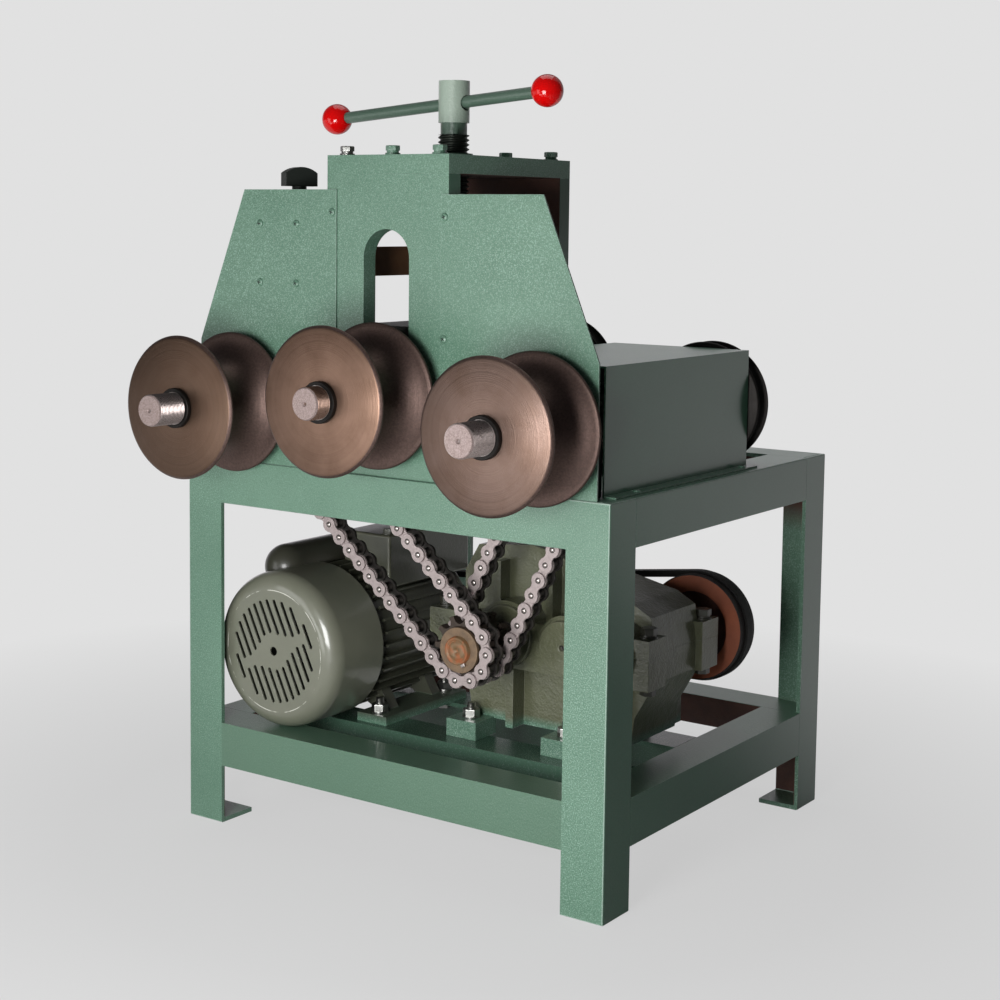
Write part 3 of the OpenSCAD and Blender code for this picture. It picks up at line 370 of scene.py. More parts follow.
def primed_within(finish, x, y, z):
    """The inner faces of legs and rails were only primed; the lower rails' top is painted."""
    inner = x.above(wall - half_width) * x.below(half_width - wall)
    inner = inner * y.above(stand_front + wall) * y.below(stand_back - wall)
    crown = z.above(rail_top - 0.6 * MM) * z.below(rail_top + 0.6 * MM)
    return inner * z.below(stand_top - wall) * z.above(6 * MM) * (1 - crown)


def primed_corners(finish, x, y, z):
    """Inside the legs the green reaches between the rails and fades into primer at both ends."""
    high = finish.rise(z, stand_top - 95 * MM, stand_top - 62 * MM)
    low = finish.rise(z, rail_top + 5 * MM, rail_top - 25 * MM)
    return primed_within(finish, x, y, z) * (high + low)


leg_enamel = green_enamel("leg_enamel", primed_corners)
rail_enamel = {
    "top_rails": green_enamel("top_rail_enamel", primed_within, edge_wear_and_highlight=0.1),
    "low_rails": green_enamel("low_rail_enamel", primed_within, srgb(86, 116, 96), edge_wear_and_highlight=0.1),
}
legs = ("leg_front_left", "leg_front_right", "leg_rear_left", "leg_rear_right")
for part in (*legs, "top_rails", "low_rails"):
    enamel = rail_enamel.get(part, leg_enamel)
    profile = shade_right_sides(softened(part, 1.3 * MM, spare=at_butt))
    piece("painted_" + part, profile, "frame", [enamel, painted_shade_side_enamel], [part])

bar_enamel = green_enamel("bar_enamel", wear_and_painted_light=srgb(50, 74, 61), edge_wear_and_highlight=0.2, grain=0.4)
for part in ("base_bars", "rear_beam"):
    piece("painted_" + part, softened(part, 0.8 * MM), "frame", [bar_enamel], [part])


# The press tower: two slotted plates and a top plate of 20 mm steel, bolted from above.
# The inside was left in red-brown primer, as were the two flat tie bars between the plates.
rear_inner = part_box("tower_rear_plate")[0].y
front_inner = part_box("tower_front_plate")[1].y
plate_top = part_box("tower_front_plate")[1].z


def primed_inside(finish, x, y, z):
    between = y.above(front_inner - 0.5 * MM) * y.below(rear_inner + 0.5 * MM)
    return between * z.below(plate_top + 0.5 * MM)


tower_enamel = green_enamel("tower_enamel", primed_inside, edge_wear_and_highlight=0.05)
for part in ("tower_front_plate", "tower_rear_plate", "tower_top_plate"):
    plate = softened(part, 1.0 * MM)
    if part != "tower_top_plate":
        shade_right_sides(plate)
    piece("painted_" + part, plate, "frame", [tower_enamel, painted_shade_side_enamel], [part])


def clouded(name, constants, cloud, tones, rough, grain=None):
    """A finish of two tones and a roughness that drift with a noise; grain is a second, for bump."""
    made = Finish(name, constants)
    drift = made.noise(*cloud)
    least, more = rough
    made.feed({"Base Color": made.blend(drift, *tones), "Roughness": least + more * drift})
    if grain:
        scale, detail, depth, strength = grain
        made.bump(made.noise(scale, detail), depth, strength)
    return made


brown_primer = clouded(
    "brown_primer", {"Specular IOR Level": 0.4}, (40, 5.0, 0.65),
    (srgb(158, 112, 76), srgb(106, 74, 54)), (0.5, 0.2), (700, 3.0, 0.0003, 0.5),
)
ties = softened("tie_bars", 0.8 * MM)
piece("primed_tie_bars", ties, "frame", [brown_primer], ["tie_bars"])


# Tower bolts: hex heads on a plain and a spring washer. The front left one is bare zinc and the
# others were sprayed with the tower.
zinc = clouded(
    "zinc_plate", {"Metallic": 1.0}, (220, 3.0, 0.6),
    (srgb(176, 176, 172), srgb(134, 134, 130)), (0.24, 0.22), (1500, 2.0, 0.0001, 0.4),
)


def prism(mesh, place, radius, height, segments):
    """An upright prism standing on place; gives its edges."""
    made = bmesh.ops.create_cone(
        mesh, cap_ends=True, segments=segments, radius1=radius, radius2=radius, depth=height,
        matrix=Matrix.Translation(place + Vector((0, 0, height / 2))),
    )["verts"]
    return {e for v in made for e in v.link_edges}


def hex_head(mesh, place, across, height):
    """A hexagon with its upper corners chamfered, standing on place."""
    edges = prism(mesh, place, across / sqrt(3), height, 6)
    upper = place.z + 0.9 * height
    bevelled(mesh, [e for e in edges if all(v.co.z > upper for v in e.verts)], 0.9 * MM)


def disc(mesh, place, radius, height, ease=0.3 * MM, segments=32):
    """A flat round with eased rims, standing on place."""
    edges = prism(mesh, place, radius, height, segments)
    bevelled(mesh, [e for e in edges if abs(e.verts[0].co.z - e.verts[1].co.z) < 1e-6], ease)


def seated_bolt(mesh, seat, washer, spring, across, height):
    """A hex head on a plain and a spring washer of the given radii."""
    stack = 4.2 * MM
    disc(mesh, seat, washer, 1.8 * MM)
    disc(mesh, seat, spring, stack, 0.2 * MM)
    hex_head(mesh, seat + Vector((0, 0, stack)), across, height)


tower_top = plate_top + 20 * MM
bolt_rows = (stand_front + 15 * MM, stand_front + 222 * MM)
bolt_enamel = green_enamel("bolt_enamel")
bolt_size = {"washer": 8 * MM, "spring": 6.4 * MM, "across": 13 * MM, "height": 5.4 * MM}
for bare in (True, False):
    bolts = bmesh.new()
    for row, y in enumerate(bolt_rows):
        for x in (-61 * MM, 0, 61 * MM):
            if (row == 0 and x < 0) == bare:
                seated_bolt(bolts, Vector((x, y, tower_top)), **bolt_size)
    if bare:
        piece("tower_bolt_bare", bolts, "frame", [zinc], ["tower_bolts"])
    else:
        piece("tower_bolts_sprayed", bolts, "frame", [bolt_enamel])


# Sheet covers and folded guards of 2 mm steel, held by small cross-head screws that were
# painted over. The guards stand on the stand's top rails and have no wall behind the covers.
sheet_enamel = green_enamel("sheet_enamel")
for part in ("cover_left", "cover_right", "guard_left", "guard_right"):
    sheet = shade_right_sides(softened(part, 0.7 * MM))
    piece("painted_" + part, sheet, "frame", [sheet_enamel, painted_shade_side_enamel], [part])

# The cross slots are dark bars laid on the screw heads: painted shade standing in for the recesses.
painted_recess_shade = Finish("painted_recess_shade", {"Roughness": 0.7})
recess_shade_tone = painted_recess_shade.blend(painted_recess_shade.noise(900), srgb(16, 20, 17), srgb(30, 36, 32))
painted_recess_shade.feed({"Base Color": recess_shade_tone})


def in_mm(*points):
    """Outline points written in millimetres."""
    return [(r * MM, h * MM) for r, h in points]


def turned(outline, steps=48, closed=False):
    """Spin an outline of (radius, height) points about Z through the origin."""
    mesh = bmesh.new()
    points = [mesh.verts.new((r, 0, h)) for r, h in outline]
    pairs = list(zip(points, points[1:]))
    if closed:
        pairs.append((points[-1], points[0]))
    lines = [mesh.edges.new(pair) for pair in pairs]
    bmesh.ops.spin(
        mesh, geom=points + lines, cent=(0, 0, 0), axis=(0, 0, 1), angle=2 * pi, steps=steps,
        use_merge=True,
    )
    bmesh.ops.remove_doubles(mesh, verts=mesh.verts, dist=1e-6)
    bmesh.ops.recalc_face_normals(mesh, faces=mesh.faces)
    return mesh


def arc(centre, radius, start, stop, steps):
    """Points of an arc in an outline, angles in degrees."""
    turns = [radians(start + (stop - start) * i / steps) for i in range(steps + 1)]
    return [(centre[0] + radius * cos(t), centre[1] + radius * sin(t)) for t in turns]


def add_copy(mesh, shape, matrix, look=None):
    """Copy one bmesh into another at a place, with its own material number if given."""
    if look is not None:
        for face in shape.faces:
            face.material_index = look
    data = bpy.data.meshes.new("copied_shape")
    shape.to_mesh(data)
    data.transform(matrix)
    mesh.from_mesh(data)
    bpy.data.meshes.remove(data)


screw_head = turned(in_mm((0, 2.1), (1.6, 2.05), (3.4, 1.5), (4.4, 0.5), (4.5, 0)), 20)
slot_bar = bmesh.new()
bar_size = Matrix.Diagonal((4.2 * MM, 0.9 * MM, 0.3 * MM, 1))
for turn in (0, pi / 2):
    bmesh.ops.create_cube(slot_bar, size=1, matrix=Matrix.Rotation(turn, 4, "Z") @ bar_size)
slot_lift = Matrix.Translation((0, 0, 2.0 * MM))


def cross_head(mesh, seat, turn):
    """A screw head on its seat with the cross of its slots turned."""
    add_copy(mesh, screw_head, seat, 0)
    # The dark cross is painted shade for the slots.
    add_copy(mesh, slot_bar, seat @ slot_lift @ Matrix.Rotation(turn, 4, "Z"), 1)


cover_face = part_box("cover_left")[0].y
face_screws = [(x, z) for z in (684, 620) for x in (-174, -122)]
face_screws += [(-72, 697), (76.5, 693), (76.5, 569)]
guard_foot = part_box("guard_left")[0].z + 2 * MM
foot_screws = [(side * 264, y) for side in (-1, 1) for y in (77, 306)]
screws = bmesh.new()
for number, (x, z) in enumerate(face_screws):
    seat = Matrix.Translation((x * MM, cover_face, z * MM)) @ Matrix.Rotation(pi / 2, 4, "X")
    cross_head(screws, seat, 0.7 * number)
for number, (x, y) in enumerate(foot_screws):
    seat = Matrix.Translation((x * MM, stand_front + y * MM, guard_foot))
    cross_head(screws, seat, 0.9 * number)
finishes = [bolt_enamel, painted_recess_shade]
piece("cover_screw_heads", screws, "frame", finishes, ["cover_screws"], even=False)


# The drum switch: a box of dark moulding that hangs behind the left cover on four of its
# screws, with an arched bar knob on a round stem on top.
dark_moulding = Finish("dark_moulding", {"Specular IOR Level": 0.45})
moulding_grain = dark_moulding.noise(1400, 2.0)
dark_moulding.feed({
    "Base Color": dark_moulding.blend(dark_moulding.noise(30, 3.0), srgb(24, 28, 25), srgb(34, 39, 35)),
    "Roughness": 0.42 + 0.16 * moulding_grain,
})
dark_moulding.bump(moulding_grain, 0.0002, 0.35)
case = softened("switch_body", 2.0 * MM)
piece("moulded_switch_body", case, "frame", [dark_moulding], ["switch_body"])
knob = softened("switch_knob", 1.4 * MM, segments=3)
piece("moulded_switch_knob", knob, "knob", [dark_moulding], ["switch_knob"])


# Bearing housings and bearings of the side shafts, plain machined blocks on the stand behind
# the covers, and the sliding block of the same iron between the tower's plates.
dark_iron = clouded(
    "dark_cast_iron", {"Metallic": 0.75}, (120, 4.0, 0.6),
    (srgb(62, 63, 60), srgb(92, 92, 88)), (0.42, 0.25), (800, 3.0, 0.0003, 0.5),
)
for part in ("housings_left", "housings_right"):
    piece("machined_" + part, softened(part, 1.2 * MM), "frame", [dark_iron], [part])
block = softened("slider", 1.2 * MM)
piece("machined_slider", block, "sliding_block", [dark_iron], ["slider"])

bright_steel = clouded(
    "bright_turned_steel", {"Metallic": 1.0}, (500, 3.0, 0.6),
    (srgb(196, 188, 184), srgb(146, 136, 132)), (0.26, 0.2), (1800, 2.0, 0.0001, 0.4),
)
for part in ("roll_bearings", "layshaft", "input_shaft"):
    dress(part, bright_steel)


# The rolls: turned steel dies, browned with oil, on bright shafts with threaded ends. The
# grooves are darker than the faces, and fine tool marks run round them.
def from_axis(x, z, centre):
    """Distance from an axis along Y through centre."""
    across = (x - centre.x) * (x - centre.x) + (z - centre.z) * (z - centre.z)
    return across.math("SQRT", across)


def browned_steel(name, centre, front, light, deep):
    """Tool-marked brown steel of two tones for a roll about centre, with its face at front."""
    made = Finish(name, {"Metallic": 0.85})
    x, y, z = made.axes()
    lathe = made.node("ShaderNodeCombineXYZ", {}, {0: from_axis(x, z, centre), 1: y * 0.8})
    marks = made.noise(1500, 2.0, 0.6, lathe)
    bands = made.noise(210, 3.0, 0.6, lathe)
    stain = made.noise(26, 5.0, 0.62)
    face = y.below(front + 0.8 * MM)
    brown = made.blend(bands, light, deep)
    brown = made.blend(made.rise(stain, 0.42, 0.7) * 0.5, brown, srgb(88, 66, 52))
    dark = made.blend(made.noise(420, 4.0, 0.65), srgb(62, 50, 46), srgb(118, 97, 90))
    tone = made.blend(face, dark, brown)
    made.feed({"Base Color": tone, "Roughness": 0.36 - 0.08 * face + 0.12 * marks + 0.1 * stain})
    made.bump(marks + bands * 0.5, 0.0003, 0.7)
    return made


def die_outline(radius, half, groove, bore, lip):
    """Half section of a grooved roll with eased rims, as (radius, depth) about its middle."""
    edge = half - groove - lip
    near = [(bore, -half), (radius - 1.2 * edge, -half)]
    near += [(radius - 0.4 * edge, 0.4 * edge - half), (radius, edge - half)]
    near += arc((radius - lip, edge - half), lip, 0, 90, 6)[1:]
    hollow = [(r, h) for r, h in arc((radius, 0), groove, 270, 90, 44) if r < radius - lip - 0.1 * MM]
    return near + hollow + [(r, -h) for r, h in reversed(near)]


def along_y(mesh, x, y, z):
    """Turn a shape spun about Z to point its top to the back, and put it in place."""
    to_back = Matrix.Rotation(-pi / 2, 3, "X")
    bmesh.ops.rotate(mesh, verts=mesh.verts, cent=(0, 0, 0), matrix=to_back)
    bmesh.ops.translate(mesh, verts=mesh.verts, vec=(x, y, z))
    return mesh


def cut_flat(mesh, height, way):
    """Cut a shape at a height, drop what lies that way along Z and close the cut."""
    everything = mesh.verts[:] + mesh.edges[:] + mesh.faces[:]
    cut = bmesh.ops.bisect_plane(
        mesh, geom=everything, dist=1e-7, plane_co=(0, 0, height), plane_no=(0, 0, way),
        clear_outer=True,
    )["geom_cut"]
    bmesh.ops.edgenet_fill(mesh, edges=[e for e in cut if isinstance(e, bmesh.types.BMEdge)])


def threaded(radius, low, high, pitch, depth, steps=40):
    """A helical thread about Z between two heights, cut flat at both ends and capped."""
    mesh = bmesh.new()
    turns = int((high - low) / pitch) + 3
    root = radius - depth
    start = low - pitch
    profile = [(root, 0.0), (root, 0.12), (radius, 0.44), (radius, 0.6), (root, 0.92), (root, 1.0)]
    points = [mesh.verts.new((r, 0, start + share * pitch)) for r, share in profile]
    lines = [mesh.edges.new(pair) for pair in zip(points, points[1:])]
    bmesh.ops.spin(
        mesh, geom=points + lines, cent=(0, 0, 0), axis=(0, 0, 1), angle=2 * pi * turns,
        steps=steps * turns, dvec=(0, 0, pitch / steps), use_merge=False,
    )
    bmesh.ops.remove_doubles(mesh, verts=mesh.verts, dist=1e-6)
    cut_flat(mesh, low, -1)
    cut_flat(mesh, high, 1)
    bmesh.ops.recalc_face_normals(mesh, faces=mesh.faces)
    crest = mesh.verts.layers.float.new("edge")
    for vert in mesh.verts:
        vert[crest] = max(0.0, (hypot(vert.co.x, vert.co.y) - root) / depth)
    return mesh


def thread_metal(name, root, light, dark, shine):
    """Worn thread: the root tone in its valleys and two tones on its crests."""
    made = Finish(name, {"Metallic": shine})
    cloud = made.noise(300, 4.0, 0.65)
    crests = made.rise(made.edges(), 0.25, 0.8)
    made.feed({
        "Base Color": made.blend(crests, root, made.blend(cloud, light, dark)),
        "Roughness": 0.2 + 0.2 * cloud,
    })
    return made


thread_steel = thread_metal(
    "worn_thread_steel", srgb(70, 61, 58), srgb(188, 176, 173), srgb(132, 120, 116), 0.9
)
rusty_thread = thread_metal(
    "rusty_thread_steel", srgb(58, 42, 34), srgb(132, 104, 88), srgb(92, 68, 56), 0.5
)
end_steel = Finish("faced_shaft_end", {"Metallic": 0.3})
end_speck = end_steel.noise(700, 4.0, 0.7)
end_spots = end_steel.rise(end_speck, 0.35, 0.65)
end_steel.feed({
    "Base Color": end_steel.blend(end_spots, srgb(162, 146, 143), srgb(128, 110, 105)),
    "Roughness": 0.45 + 0.2 * end_speck,
})
end_steel.bump(end_speck, 0.0003, 0.5)
black_steel = clouded(
    "blackened_steel", {"Metallic": 0.8}, (160, 4.0, 0.6),
    (srgb(26, 24, 23), srgb(46, 43, 41)), (0.4, 0.2), (900, 2.0, 0.0002, 0.4),
)

at_origin = Matrix.Identity(4)
groove = 38.5 * MM
bore = 20 * MM
nut = 6 * MM
end_radius = 17 * MM
cover_depth = 4 * MM
bearing_back = 236 * MM
centre_hole = in_mm((0, 4.2), (1.1, 2.4), (1.3, 1.6), (2.6, 0.2), (2.8, 0))
# Each roll's two tones; the left roll's are darker as painted shade.
roll_tones_with_painted_shade = {
    "left": (srgb(108, 86, 72), srgb(87, 69, 57)),
    "middle": (srgb(134, 107, 91), srgb(110, 86, 73)),
    "right": (srgb(122, 101, 91), srgb(100, 82, 74)),
}
for side in ("left", "middle", "right"):
    body = side + "_roll"
    low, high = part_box(side + "_die")
    centre = (low + high) / 2
    half = (high.y - low.y) / 2
    outline = die_outline((high.x - low.x) / 2, half, groove, bore, 0.42 * (half - groove))
    roll = along_y(turned(outline, 160, closed=True), *centre)
    finish = browned_steel("browned_" + side + "_roll", centre, low.y, *roll_tones_with_painted_shade[side])
    piece("turned_" + side + "_die", roll, body, [finish], [side + "_die"], even=False)

    rear = side + "_rear_die"
    rear_low, rear_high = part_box(rear)
    rear_half = (rear_high.y - rear_low.y) / 2
    outline = die_outline((rear_high.x - rear_low.x) / 2, rear_half, 10 * MM, bore, 1.2 * MM)
    roll = turned(outline, 128, closed=True)
    roll = along_y(roll, centre.x, rear_low.y + rear_half, centre.z)
    piece("turned_" + rear, roll, body, [black_steel], [rear], even=False)

    tip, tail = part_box(side + "_shaft")
    shaft = bmesh.new()
    rear_seat = rear_high.y + nut
    for near, far in ((tip.y + 1.6 * MM, low.y - nut), (rear_seat, tail.y - 1.6 * MM)):
        screw = threaded(end_radius, 0, far - near, pitch=2.0 * MM, depth=1.0 * MM)
        add_copy(shaft, along_y(screw, centre.x, near, centre.z), at_origin, 1)
    for y, way in ((tip.y, 1), (tail.y, -1)):
        eased = [(end_radius - 1.5 * MM, 0), (end_radius - 0.5 * MM, 1.7 * MM), (0, 5.0 * MM)]
        nose = turned(centre_hole + eased)
        if way < 0:
            bmesh.ops.scale(nose, verts=nose.verts, vec=(1, 1, -1))
            bmesh.ops.reverse_faces(nose, faces=nose.faces)
        add_copy(shaft, along_y(nose, centre.x, y, centre.z), at_origin, 2)
    # The shaft's steps: radius in millimetres, and where each begins and ends.
    steps = (
        (17.4, low.y - nut, low.y + 1 * MM), (20, low.y + 1 * MM, high.y),
        (26, high.y, stand_front + cover_depth),
        (20, stand_front + cover_depth, stand_front + bearing_back),
        (26, stand_front + bearing_back, rear_low.y), (20, rear_low.y, rear_high.y - 1 * MM),
        (17.4, rear_high.y - 1 * MM, rear_seat),
    )
    outline = [(radius * MM, y) for radius, near, far in steps for y in (near, far)]
    trunk = turned([(0, low.y - nut), *outline, (0, rear_seat)], 64)
    add_copy(shaft, along_y(trunk, centre.x, 0, centre.z), at_origin, 0)
    finishes = [bright_steel, rusty_thread if side == "middle" else thread_steel, end_steel]
    piece(
        "turned_" + side + "_shaft", shaft, body, finishes, [side + "_shaft"],
        crease=30, even=False,
    )

    nuts = bmesh.new()
    for y in (low.y - nut, rear_high.y):
        ring = in_mm((17.5, 0), (20.6, 0), (21.4, 0.8), (21.4, 5.2), (20.6, 6), (17.5, 6))
        ring = turned(ring, 64, closed=True)
        add_copy(nuts, along_y(ring, centre.x, y, centre.z), at_origin)
    nodes = [side + "_nuts"]
    piece("turned_" + side + "_nuts", nuts, body, [black_steel], nodes, even=False)


# The hand press: a green screw with a cross hole in its head, a loose bar through it and
# two glossy red moulded balls. The thread between the head and the tower is dark with oil.
screw_low, screw_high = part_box("press_screw")
screw_x = (screw_low.x + screw_high.x) / 2
screw_y = (screw_low.y + screw_high.y) / 2
oiled_thread = clouded(
    "oiled_thread", {"Metallic": 0.7}, (200, 4.0), (srgb(44, 48, 43), srgb(78, 84, 76)), (0.3, 0.2)
)
screw_enamel = green_enamel("screw_enamel", wear_and_painted_light=srgb(188, 202, 188))
neck = tower_top + 25 * MM
journal_top = screw_low.z + 31 * MM
thread_start = journal_top - 0.5 * MM
press_thread = threaded(17 * MM, thread_start, neck, pitch=5 * MM, depth=2.4 * MM)
journal_ends = (screw_low.z, journal_top)
journal = turned([(0, screw_low.z), *((13 * MM, z) for z in journal_ends), (0, journal_top)])
add_copy(press_thread, journal, at_origin)
bmesh.ops.translate(press_thread, verts=press_thread.verts, vec=(screw_x, screw_y, 0))
piece("press_screw_thread", press_thread, "screw", [oiled_thread], even=False)


def below_head(middle):
    return middle.z < neck + 5 * MM


head = softened("press_screw", 1.2 * MM, spare=below_head, segments=3)
cut_flat(head, neck, -1)
bar_enamel_dark = green_enamel("cross_bar_enamel", wear_and_painted_light=srgb(84, 102, 90))
for face in head.faces:
    face.material_index = int(face.calc_center_median().z < neck + 12 * MM)
finishes = [screw_enamel, bar_enamel_dark]
piece("press_screw_head", head, "screw", finishes, ["press_screw"])

ball_low, ball_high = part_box("ball_knobs")
ball = 17.3 * MM
left_ball = Vector((ball_low.x + ball, screw_y, ball_low.z + ball))
right_ball = Vector((ball_high.x - ball, screw_y, ball_high.z - ball))
bar_way = (right_ball - left_ball).normalized()
bar_turn = Vector((0, 0, 1)).rotation_difference(bar_way).to_matrix().to_4x4()
bar_radius = 6.5 * MM
bar_length = (right_ball - left_ball).length
bar = turned([(0, 0), (bar_radius, 0), (bar_radius, bar_length), (0, bar_length)], 40)
bar.transform(Matrix.Translation(left_ball) @ bar_turn)
piece("painted_cross_bar", bar, "handle", [bar_enamel_dark], ["cross_bar"], even=False)

red_moulding = Finish("red_moulding", {
    "Roughness": 0.1, "Coat Weight": 0.1, "Coat Roughness": 0.04, "Specular IOR Level": 0.4,
})
red_drift = red_moulding.noise(25, 2.0)
red_moulding.feed({"Base Color": red_moulding.blend(red_drift, srgb(224, 6, 8), srgb(234, 12, 12))})
mouth = 7.6 * MM
dip = sqrt(ball * ball - mouth * mouth)
shell = [(r, h) for r, h in arc((0, 0), ball, -90, 90, 40) if h < dip - 0.5 * MM]
lip = [(mouth + 0.5 * MM, dip - 0.1 * MM), (mouth, dip), (bar_radius, dip), (bar_radius, 0)]
moulded_ball = turned([(0, -ball), *shell[1:], *lip], 64)
balls = bmesh.new()
for place, way in ((left_ball, 1), (right_ball, -1)):
    turn = bar_turn if way > 0 else bar_turn @ Matrix.Rotation(pi, 4, "X")
    add_copy(balls, moulded_ball, Matrix.Translation(place) @ turn)
piece("moulded_ball_knobs", balls, "handle", [red_moulding], ["ball_knobs"], even=False)


# The motor: a ribbed cast body on feet, an end shield, and a terminal box and a capacitor
# cover on top, in a glossy olive enamel that looks almost black. A hex bolt holds the box's lid.
def olive_enamel(name, low, high, grain, depth, extra=None, gloss=0.3):
    """Glossy olive enamel between two tones, with a grain and its depth; extra adds to the tone."""
    made = Finish(name, {"Coat Roughness": 0.12, "Specular IOR Level": 0.5, "Coat Weight": gloss})
    cloud = made.noise(16, 5.0, 0.6)
    tone = made.blend(cloud, low, high)
    # Bevelled edges lighten towards pale olive: worn paint and a painted edge highlight.
    tone = made.blend(made.edges() * 0.3, tone, srgb(128, 128, 110))
    if extra:
        tone = extra(made, tone, *made.axes())
    made.feed({"Base Color": tone, "Roughness": 0.3 + 0.16 * cloud})
    made.bump(made.noise(grain, 4.0, 0.6) + made.noise(grain * 4, 2.0) * 0.3, depth, 0.6)
    return made


def sprayed_below(top):
    """Green overspray from the stand's enamel on a casting's feet, up to a height."""
    def spray(finish, tone, x, y, z):
        fleck = finish.rise(finish.noise(760, 2.0, 0.62), 0.5, 0.64)
        green = finish.blend(fleck * 0.5, srgb(80, 116, 96), enamel_pale)
        return finish.blend(finish.rise(z, top + 8 * MM, top - 2 * MM), tone, green)
    return spray


foot_top = rail_top + 4 * MM
cast_olive = olive_enamel(
    "olive_on_motor_casting", srgb(58, 60, 50), srgb(82, 84, 70), 170, 0.0008, sprayed_below(foot_top)
)
for part, edge in (("motor_body", 0.9), ("motor_end_shield", 1.5), ("motor_terminal_box", 3.0)):
    casting = softened(part, edge * MM)
    piece("painted_" + part, casting, "frame", [cast_olive], [part])
box_low, box_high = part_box("motor_terminal_box")
lid_bolt = bmesh.new()
lid_seat = Vector((box_high.x - 10 * MM, box_low.y + 10 * MM, box_high.z))
disc(lid_bolt, lid_seat, 7.5 * MM, 1.5 * MM)
hex_head(lid_bolt, lid_seat + Vector((0, 0, 1.5 * MM)), 10 * MM, 5 * MM)
piece("terminal_box_bolt", lid_bolt, "frame", [cast_olive])


# The fan cover: a pressed steel cup over the fan, in a lighter satin olive. Round its flat face runs a
# painted highlight, a bright line broken by a noise.
fan_low, fan_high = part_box("motor_fan_cover")
fan_axis = (fan_low + fan_high) / 2
highlight_radius = 68.5 * MM


# A painted highlight: a thin pale ring round the flat face's rim, broken by a noise.
def painted_rim_highlight(finish, tone, x, y, z):
    radius = from_axis(x, z, fan_axis)
    line = radius.above(highlight_radius) * radius.below(highlight_radius + 0.9 * MM)
    line = line * y.below(fan_low.y + 1.5 * MM)
    wear_and_painted_light = finish.rise(finish.noise(70, 3.0, 0.6), 0.42, 0.56)
    return finish.blend(line * wear_and_painted_light, tone, srgb(206, 206, 196))


pressed_olive = olive_enamel(
    "olive_on_fan_cover", srgb(104, 107, 93), srgb(124, 125, 110), 260, 0.0002, painted_rim_highlight, 0.8
)
part = "motor_fan_cover"
cup = softened(part, 0.5 * MM)
piece("painted_" + part, cup, "frame", [pressed_olive], [part])
dark_olive = olive_enamel("olive_on_capacitor_cover", srgb(50, 50, 43), srgb(66, 66, 56), 300, 0.0002)
part = "motor_capacitor_cover"
piece("painted_" + part, softened(part, 0.8 * MM), "frame", [dark_olive], [part])

fan_dark = Finish("rotor_and_fan", {"Specular IOR Level": 0.4})
on_shaft = fan_dark.axes()[1].above(fan_high.y)
shaft_tone = fan_dark.blend(fan_dark.noise(300, 3.0), srgb(150, 146, 140), srgb(112, 108, 104))
fan_dark.feed({
    "Base Color": fan_dark.blend(on_shaft, srgb(34, 36, 32), shaft_tone),
    "Metallic": on_shaft,
    "Roughness": 0.42 + 0.2 * fan_dark.noise(200, 3.0),
})
dress("motor_rotor", fan_dark)


# The gear reducer: an oily cast box on four feet, its cover bolted on at the level of the
# shafts, with round bearing caps. The foot pads were sprayed green with the stand.
drive_low, drive_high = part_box("drive_sprockets")
drive_axis = (drive_low + drive_high) / 2
pad_top = rail_top + 22 * MM
reducer_olive = olive_enamel(
    "olive_on_reducer_casting", srgb(72, 75, 57), srgb(104, 107, 81), 95, 0.0022,
    sprayed_below(pad_top), 0.45,
)
for part, edge in (("reducer_base", 3.0), ("reducer_cover", 4.0), ("reducer_caps", 1.5)):
    casting = softened(part, edge * MM, segments=3)
    piece("cast_" + part, casting, "frame", [reducer_olive], [part])


# Foot bolts and clamp bolts: studs with washers and zinc-plated hex nuts on the feet of the
# motor and the reducer, and painted hex bolts through the reducer's flanges.
stud = turned(in_mm(
    (5.0, 0), (5.0, 1.5), (4.4, 2.2), (5.0, 2.9), (4.4, 3.6), (5.0, 4.3),
    (4.4, 5.0), (4.9, 5.7), (3.9, 6.9), (0, 6.9),
), 14)
washer = 2 * MM
nut_height = 8 * MM
foot_nut = bmesh.new()
hex_head(foot_nut, Vector((0, 0, 0)), 17 * MM, nut_height)
motor_foot = 10 * MM
reducer_pad = 20 * MM
foot_seats = [(fan_axis.x + dx * MM, y, motor_foot) for dx in (-70, 70) for y in (118, 243)]
foot_seats += [(drive_axis.x + dx * MM, y, reducer_pad) for dx in (-55, 71) for y in (136, 264)]
under_flange = rail_top - 5 * MM
bolt_end = 6.5 * MM
fasteners = bmesh.new()
for number, (x, y, height) in enumerate(foot_seats):
    seat = Vector((x, stand_front + y * MM, rail_top + height))
    disc(fasteners, seat, 10 * MM, washer)
    on_washer = Matrix.Translation(seat + Vector((0, 0, washer)))
    add_copy(fasteners, foot_nut, on_washer @ Matrix.Rotation(0.5 * number, 4, "Z"))
    add_copy(fasteners, stud, Matrix.Translation(seat + Vector((0, 0, washer + nut_height))))
    lower = Vector((seat.x, seat.y, under_flange - bolt_end))
    disc(fasteners, lower, 8.5 * MM, bolt_end, segments=6)
piece("foot_nuts_and_studs", fasteners, "frame", [zinc], ["drive_bolts"])
clamps = bmesh.new()
split = drive_axis.z - 2 * MM
flange = 20 * MM
bolt_size = {"washer": 9.8 * MM, "spring": 7.9 * MM, "across": 16 * MM, "height": 7 * MM}
for dx in (-93, 168):
    for y in (141, 259):
        seat = Vector((drive_axis.x + dx * MM, stand_front + y * MM, split + flange))
        seated_bolt(clamps, seat, **bolt_size)
        disc(clamps, seat - Vector((0, 0, 61 * MM)), 8.6 * MM, 7 * MM, segments=6)
piece("painted_clamp_bolts", clamps, "frame", [dark_olive])


# The chains: riveted roller chain. The plates in front are wiped clean and pale; the rollers are black
# with oil, the plates of the far side are made dark as painted shade, and the rivet ends shine.
pitch = 19.05 * MM
teeth = 11
wrap_radius = pitch / (2 * sin(pi / teeth))


